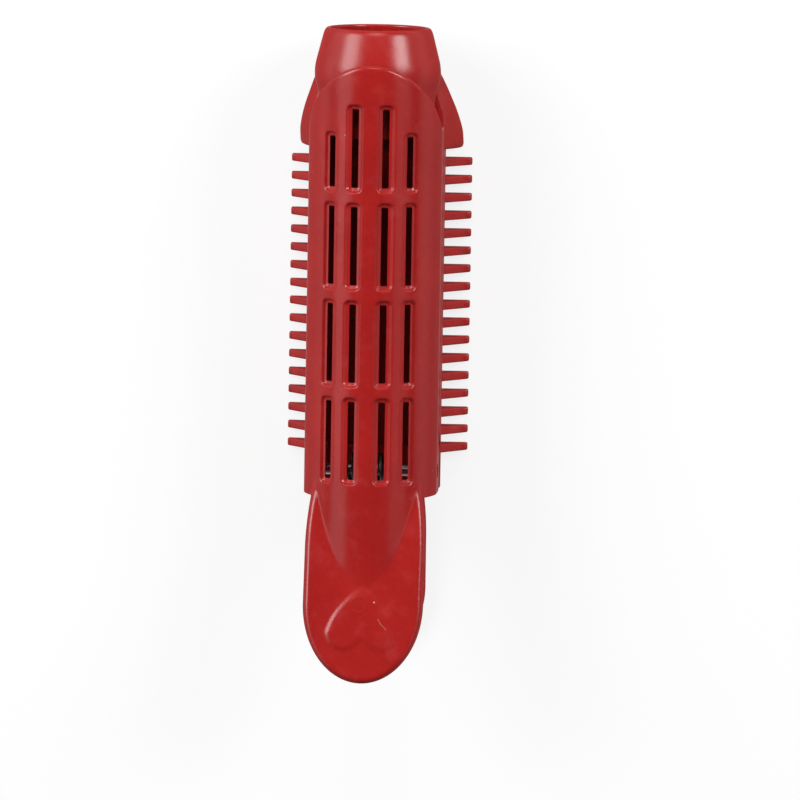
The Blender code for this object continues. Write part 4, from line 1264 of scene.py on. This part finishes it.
# The hinge pin is drawn steel, cut to length with its ends just broken, and sits a little inside the flanks
PIN_RADIUS = 0.001
PIN_HALF_LENGTH = 0.01045
PIN_END_ROUND = 0.0002
PIN_STEPS = 64
PIN_CREASE = math.radians(50)
PIN_STEEL = (0.56, 0.57, 0.58, 1.0)
PIN_SHADE = (0.42, 0.43, 0.44, 1.0)
PIN_NOISE = {"scale": 5000.0, "detail": 2.0, "stretch": (0.02, 1.0, 1.0)}
PIN_ROUGHNESS = (0.2, 0.26, 0.35)
PIN_RELIEF = 0.000003


def bare_steel(name, shade, steel, noise, roughness, height):
    """Bare steel, uneven in colour, gloss and relief. Its roughness has a least, a usual and a most."""
    finish = Finish(name, roughness[1], 1.0)
    uneven = finish.noise(**noise)
    finish.set("Base Color", finish.mix(uneven, shade, steel))
    finish.set("Roughness", roughness[0] + uneven * (roughness[2] - roughness[0]))
    finish.relief(uneven * height)
    return finish


def on_pin(radius, across, angle):
    rise = COMB_AXIS_HEIGHT + radius * math.sin(angle)
    return (across, y_at(PIN_STATION) + radius * math.cos(angle), rise)


pin_profile = bent((
    (PIN_RADIUS, -PIN_HALF_LENGTH, PIN_END_ROUND), (PIN_RADIUS, PIN_HALF_LENGTH, PIN_END_ROUND),
    (0.0, PIN_HALF_LENGTH, 0.0), (0.0, -PIN_HALF_LENGTH, 0.0),
))
pin_mesh = bmesh.new()
add_turned(pin_mesh, [(max(radius, MERGE_DISTANCE), x) for radius, x in pin_profile], PIN_STEPS, on_pin)
bmesh.ops.remove_doubles(pin_mesh, verts=pin_mesh.verts, dist=2 * MERGE_DISTANCE)
pin = piece_from("steel_pin", pin_mesh)
pin_finish = bare_steel("drawn_steel", PIN_SHADE, PIN_STEEL, PIN_NOISE, PIN_ROUGHNESS, PIN_RELIEF)
dress(pin, pin_finish, PIN_CREASE)
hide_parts("hinge_pin")
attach(pin, "comb")

# The torsion spring is one length of round spring wire, coiled round the pin between the ears. One leg
# presses on the lower thumb tab and the other under the upper one, so its turns wind up as the jaws open.
WIRE_RADIUS = 0.00045
COIL_RADIUS = 0.0023
COIL_TURNS = 5
COIL_PITCH = 0.0014
COIL_POINTS = 44
LEG_POINTS = 14
LEG_RUN = 0.01
LEG_CLEARANCE = 0.0003
WIRE_STEPS = 16
WIRE_END_STEPS = 4
WIRE_CREASE = math.radians(60)
# The wire is darker than bare steel: partly its own oiled temper, partly painted shade under the cover
WIRE_STEEL_AND_PAINTED_SHADE = (0.3, 0.3, 0.31, 1.0)
WIRE_DARKEST_AND_PAINTED_SHADE = (0.12, 0.12, 0.13, 1.0)
WIRE_NOISE = {"scale": 1600.0, "detail": 3.0}
WIRE_ROUGHNESS = (0.26, 0.34, 0.42)
WIRE_RELIEF = 0.000004

half_coil = (COIL_TURNS + 1) * COIL_PITCH / 2
clear = LEG_CLEARANCE + WIRE_RADIUS
upper_rise = COVER_AXIS_HEIGHT - COMB_AXIS_HEIGHT
upper_rise += math.sqrt((COVER_INNER_RADIUS - clear) ** 2 - half_coil**2)
lower_rise = lower_tab_top(PIN_STATION + LEG_RUN) + clear - COMB_AXIS_HEIGHT
upper_end, lower_end = Vector((-LEG_RUN, upper_rise)), Vector((-LEG_RUN, lower_rise))


def leaving_angle(target, turn_sign):
    """Angle on the coil where a straight leg towards a target leaves it."""
    return math.atan2(target.y, target.x) + turn_sign * math.acos(COIL_RADIUS / target.length)


first_angle = leaving_angle(upper_end, -1)
last_angle = leaving_angle(lower_end, 1)
sweep = math.tau * COIL_TURNS + (last_angle - first_angle) % math.tau
coil = []
for share in shares(round(sweep / math.tau * COIL_POINTS)):
    angle = first_angle + sweep * share
    along = half_coil * (2 * share - 1)
    coil.append(Vector((along, COIL_RADIUS * math.cos(angle), COIL_RADIUS * math.sin(angle))))
upper_foot, lower_foot = Vector((-half_coil, *upper_end)), Vector((half_coil, *lower_end))
wire_path = [upper_foot.lerp(coil[0], share) for share in shares(LEG_POINTS)[:-1]] + coil
wire_path += [coil[-1].lerp(lower_foot, share) for share in shares(LEG_POINTS, 1)]

# A round wire follows the path, with domed ends
sections = []
side = (wire_path[1] - wire_path[0]).normalized().orthogonal().normalized()
for index, point in enumerate(wire_path):
    before = wire_path[max(0, index - 1)]
    after = wire_path[min(len(wire_path) - 1, index + 1)]
    ahead = (after - before).normalized()
    side = (side - ahead * side.dot(ahead)).normalized()
    sections.append((point, side, ahead.cross(side), ahead, WIRE_RADIUS))
first_dome, last_dome = [], []
for turn in quarter_turns(WIRE_END_STEPS, 1)[:-1]:
    for dome, (point, side, up, ahead, radius), way in (
        (first_dome, sections[0], -1), (last_dome, sections[-1], 1)
    ):
        end = point + ahead * way * radius * math.cos(turn)
        dome.append((end, side, up, ahead, radius * math.sin(turn)))
wire_loops = []
for point, side, up, ahead, radius in first_dome + sections + last_dome[::-1]:
    loop = []
    for share in shares(WIRE_STEPS)[:-1]:
        turn = math.tau * share
        loop.append(pin_place + point + side * radius * math.cos(turn) + up * radius * math.sin(turn))
    wire_loops.append(loop)
spring_mesh = bmesh.new()
add_rings(spring_mesh, wire_loops)
spring = piece_from("torsion_spring", spring_mesh)
# The wire's finish carries painted shade in its dark colours
wire_finish = bare_steel("spring_wire", WIRE_DARKEST_AND_PAINTED_SHADE, WIRE_STEEL_AND_PAINTED_SHADE, WIRE_NOISE, WIRE_ROUGHNESS, WIRE_RELIEF)
dress(spring, wire_finish, WIRE_CREASE)
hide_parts("closing_spring")
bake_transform(spring)

# The clip lies on a plain white table, lit by a soft box each side of the collar, a weak one each side of
# the tab and one beyond the collar, and by a little light from the room
FLOOR_HALF = 30.0
FLOOR_ROUGHNESS = 0.9
FLOOR_BOUNCE = (0.32, 0.32, 0.32, 1.0)
FLOOR_WHITE = (1.0, 1.0, 1.0, 1.0)
FLOOR_GLOW_SHARE = 0.82
REFLECTED_SHARE = 0.4
ROOM_LIGHT = (0.1, 0.1, 0.1, 1.0)

floor_mesh = bmesh.new()
bmesh.ops.create_grid(floor_mesh, x_segments=1, y_segments=1, size=FLOOR_HALF)
floor = piece_from("floor", floor_mesh)
floor_finish = Finish("white_table", FLOOR_ROUGHNESS)
path = floor_finish.node("ShaderNodeLightPath").outputs
seen = Amount(floor_finish, path["Is Camera Ray"])
for name in ("Is Glossy Ray", "Is Transmission Ray"):
    seen = seen.sum("MAXIMUM", seen, Amount(floor_finish, path[name]) * REFLECTED_SHARE)
floor_finish.set("Base Color", floor_finish.mix(seen, FLOOR_BOUNCE, FLOOR_WHITE))
glow = floor_finish.node("ShaderNodeEmission", Color=FLOOR_WHITE, Strength=1.0)
blended = floor_finish.node(
    "ShaderNodeMixShader", None, seen * FLOOR_GLOW_SHARE, floor_finish.shader.outputs[0], glow.outputs[0]
)
surface = floor_finish.tree.nodes["Material Output"].inputs["Surface"]
floor_finish.feed(surface, blended.outputs[0])
floor.data.materials.append(floor_finish.material)

world = bpy.data.worlds.new("room")
bpy.context.scene.world = world
world.use_nodes = True
world.node_tree.nodes["Background"].inputs["Color"].default_value = ROOM_LIGHT
bpy.context.scene.view_settings.view_transform = "Standard"

# Each oblong soft box faces the clip. It has a direction, a width and a depth, and a power in watts.
BOX_DISTANCE = 0.8
SOFT_BOXES = {
    "left_box": ((-0.72, 0.41, 0.56), (0.46, 0.38), 4.7),
    "right_box": ((0.702, 0.429, 0.561), (0.32, 0.3), 3.9),
    "left_fill": ((-0.78, -0.1, 0.62), (0.6, 0.4), 0.8),
    "right_fill": ((0.78, -0.1, 0.62), (0.6, 0.4), 0.35),
    "far_box": ((0.0, 0.78, 0.626), (0.34, 0.26), 1.4),
}
for name, (direction, size, power) in SOFT_BOXES.items():
    lamp = bpy.data.lights.new(name, "AREA")
    lamp.shape = "RECTANGLE"
    lamp.size, lamp.size_y = size
    lamp.energy = power
    holder = bpy.data.objects.new(name, lamp)
    towards = Vector(direction).normalized()
    holder.location = towards * BOX_DISTANCE
    holder.rotation_euler = towards.to_track_quat("Z", "Y").to_euler()
    bpy.context.scene.collection.objects.link(holder)

# The camera looks almost straight down, from a little towards the collar and a little to the right
CAMERA_DISTANCE = 1.2
CAMERA_TIP = math.radians(6.78)
CAMERA_TURN = math.radians(4.73)
CAMERA_ROLL = math.radians(0.96)
PICTURE_WIDTH = 0.12959
AIM_HEIGHT = 0.015
AIM_RIGHT = 0.00462
AIM_DOWN = 0.00769

eye = bpy.data.cameras.new("camera")
eye.lens = eye.sensor_width * CAMERA_DISTANCE / PICTURE_WIDTH
camera = bpy.data.objects.new("camera", eye)
bpy.context.scene.collection.objects.link(camera)
bpy.context.scene.camera = camera
sight = Vector((
    math.sin(CAMERA_TURN), math.sin(CAMERA_TIP), math.cos(CAMERA_TIP) * math.cos(CAMERA_TURN)
)).normalized()
right = Vector((0, 1, 0)).cross(sight).normalized()
up = sight.cross(right).normalized()
cosine, sine = math.cos(CAMERA_ROLL), math.sin(CAMERA_ROLL)
up, right = up * cosine - right * sine, right * cosine + up * sine
aim = Vector((0.0, 0.0, AIM_HEIGHT)) + right * AIM_RIGHT - up * AIM_DOWN
turned = Matrix((right, up, sight)).transposed().to_4x4()
camera.matrix_world = Matrix.Translation(aim + sight * CAMERA_DISTANCE) @ turned
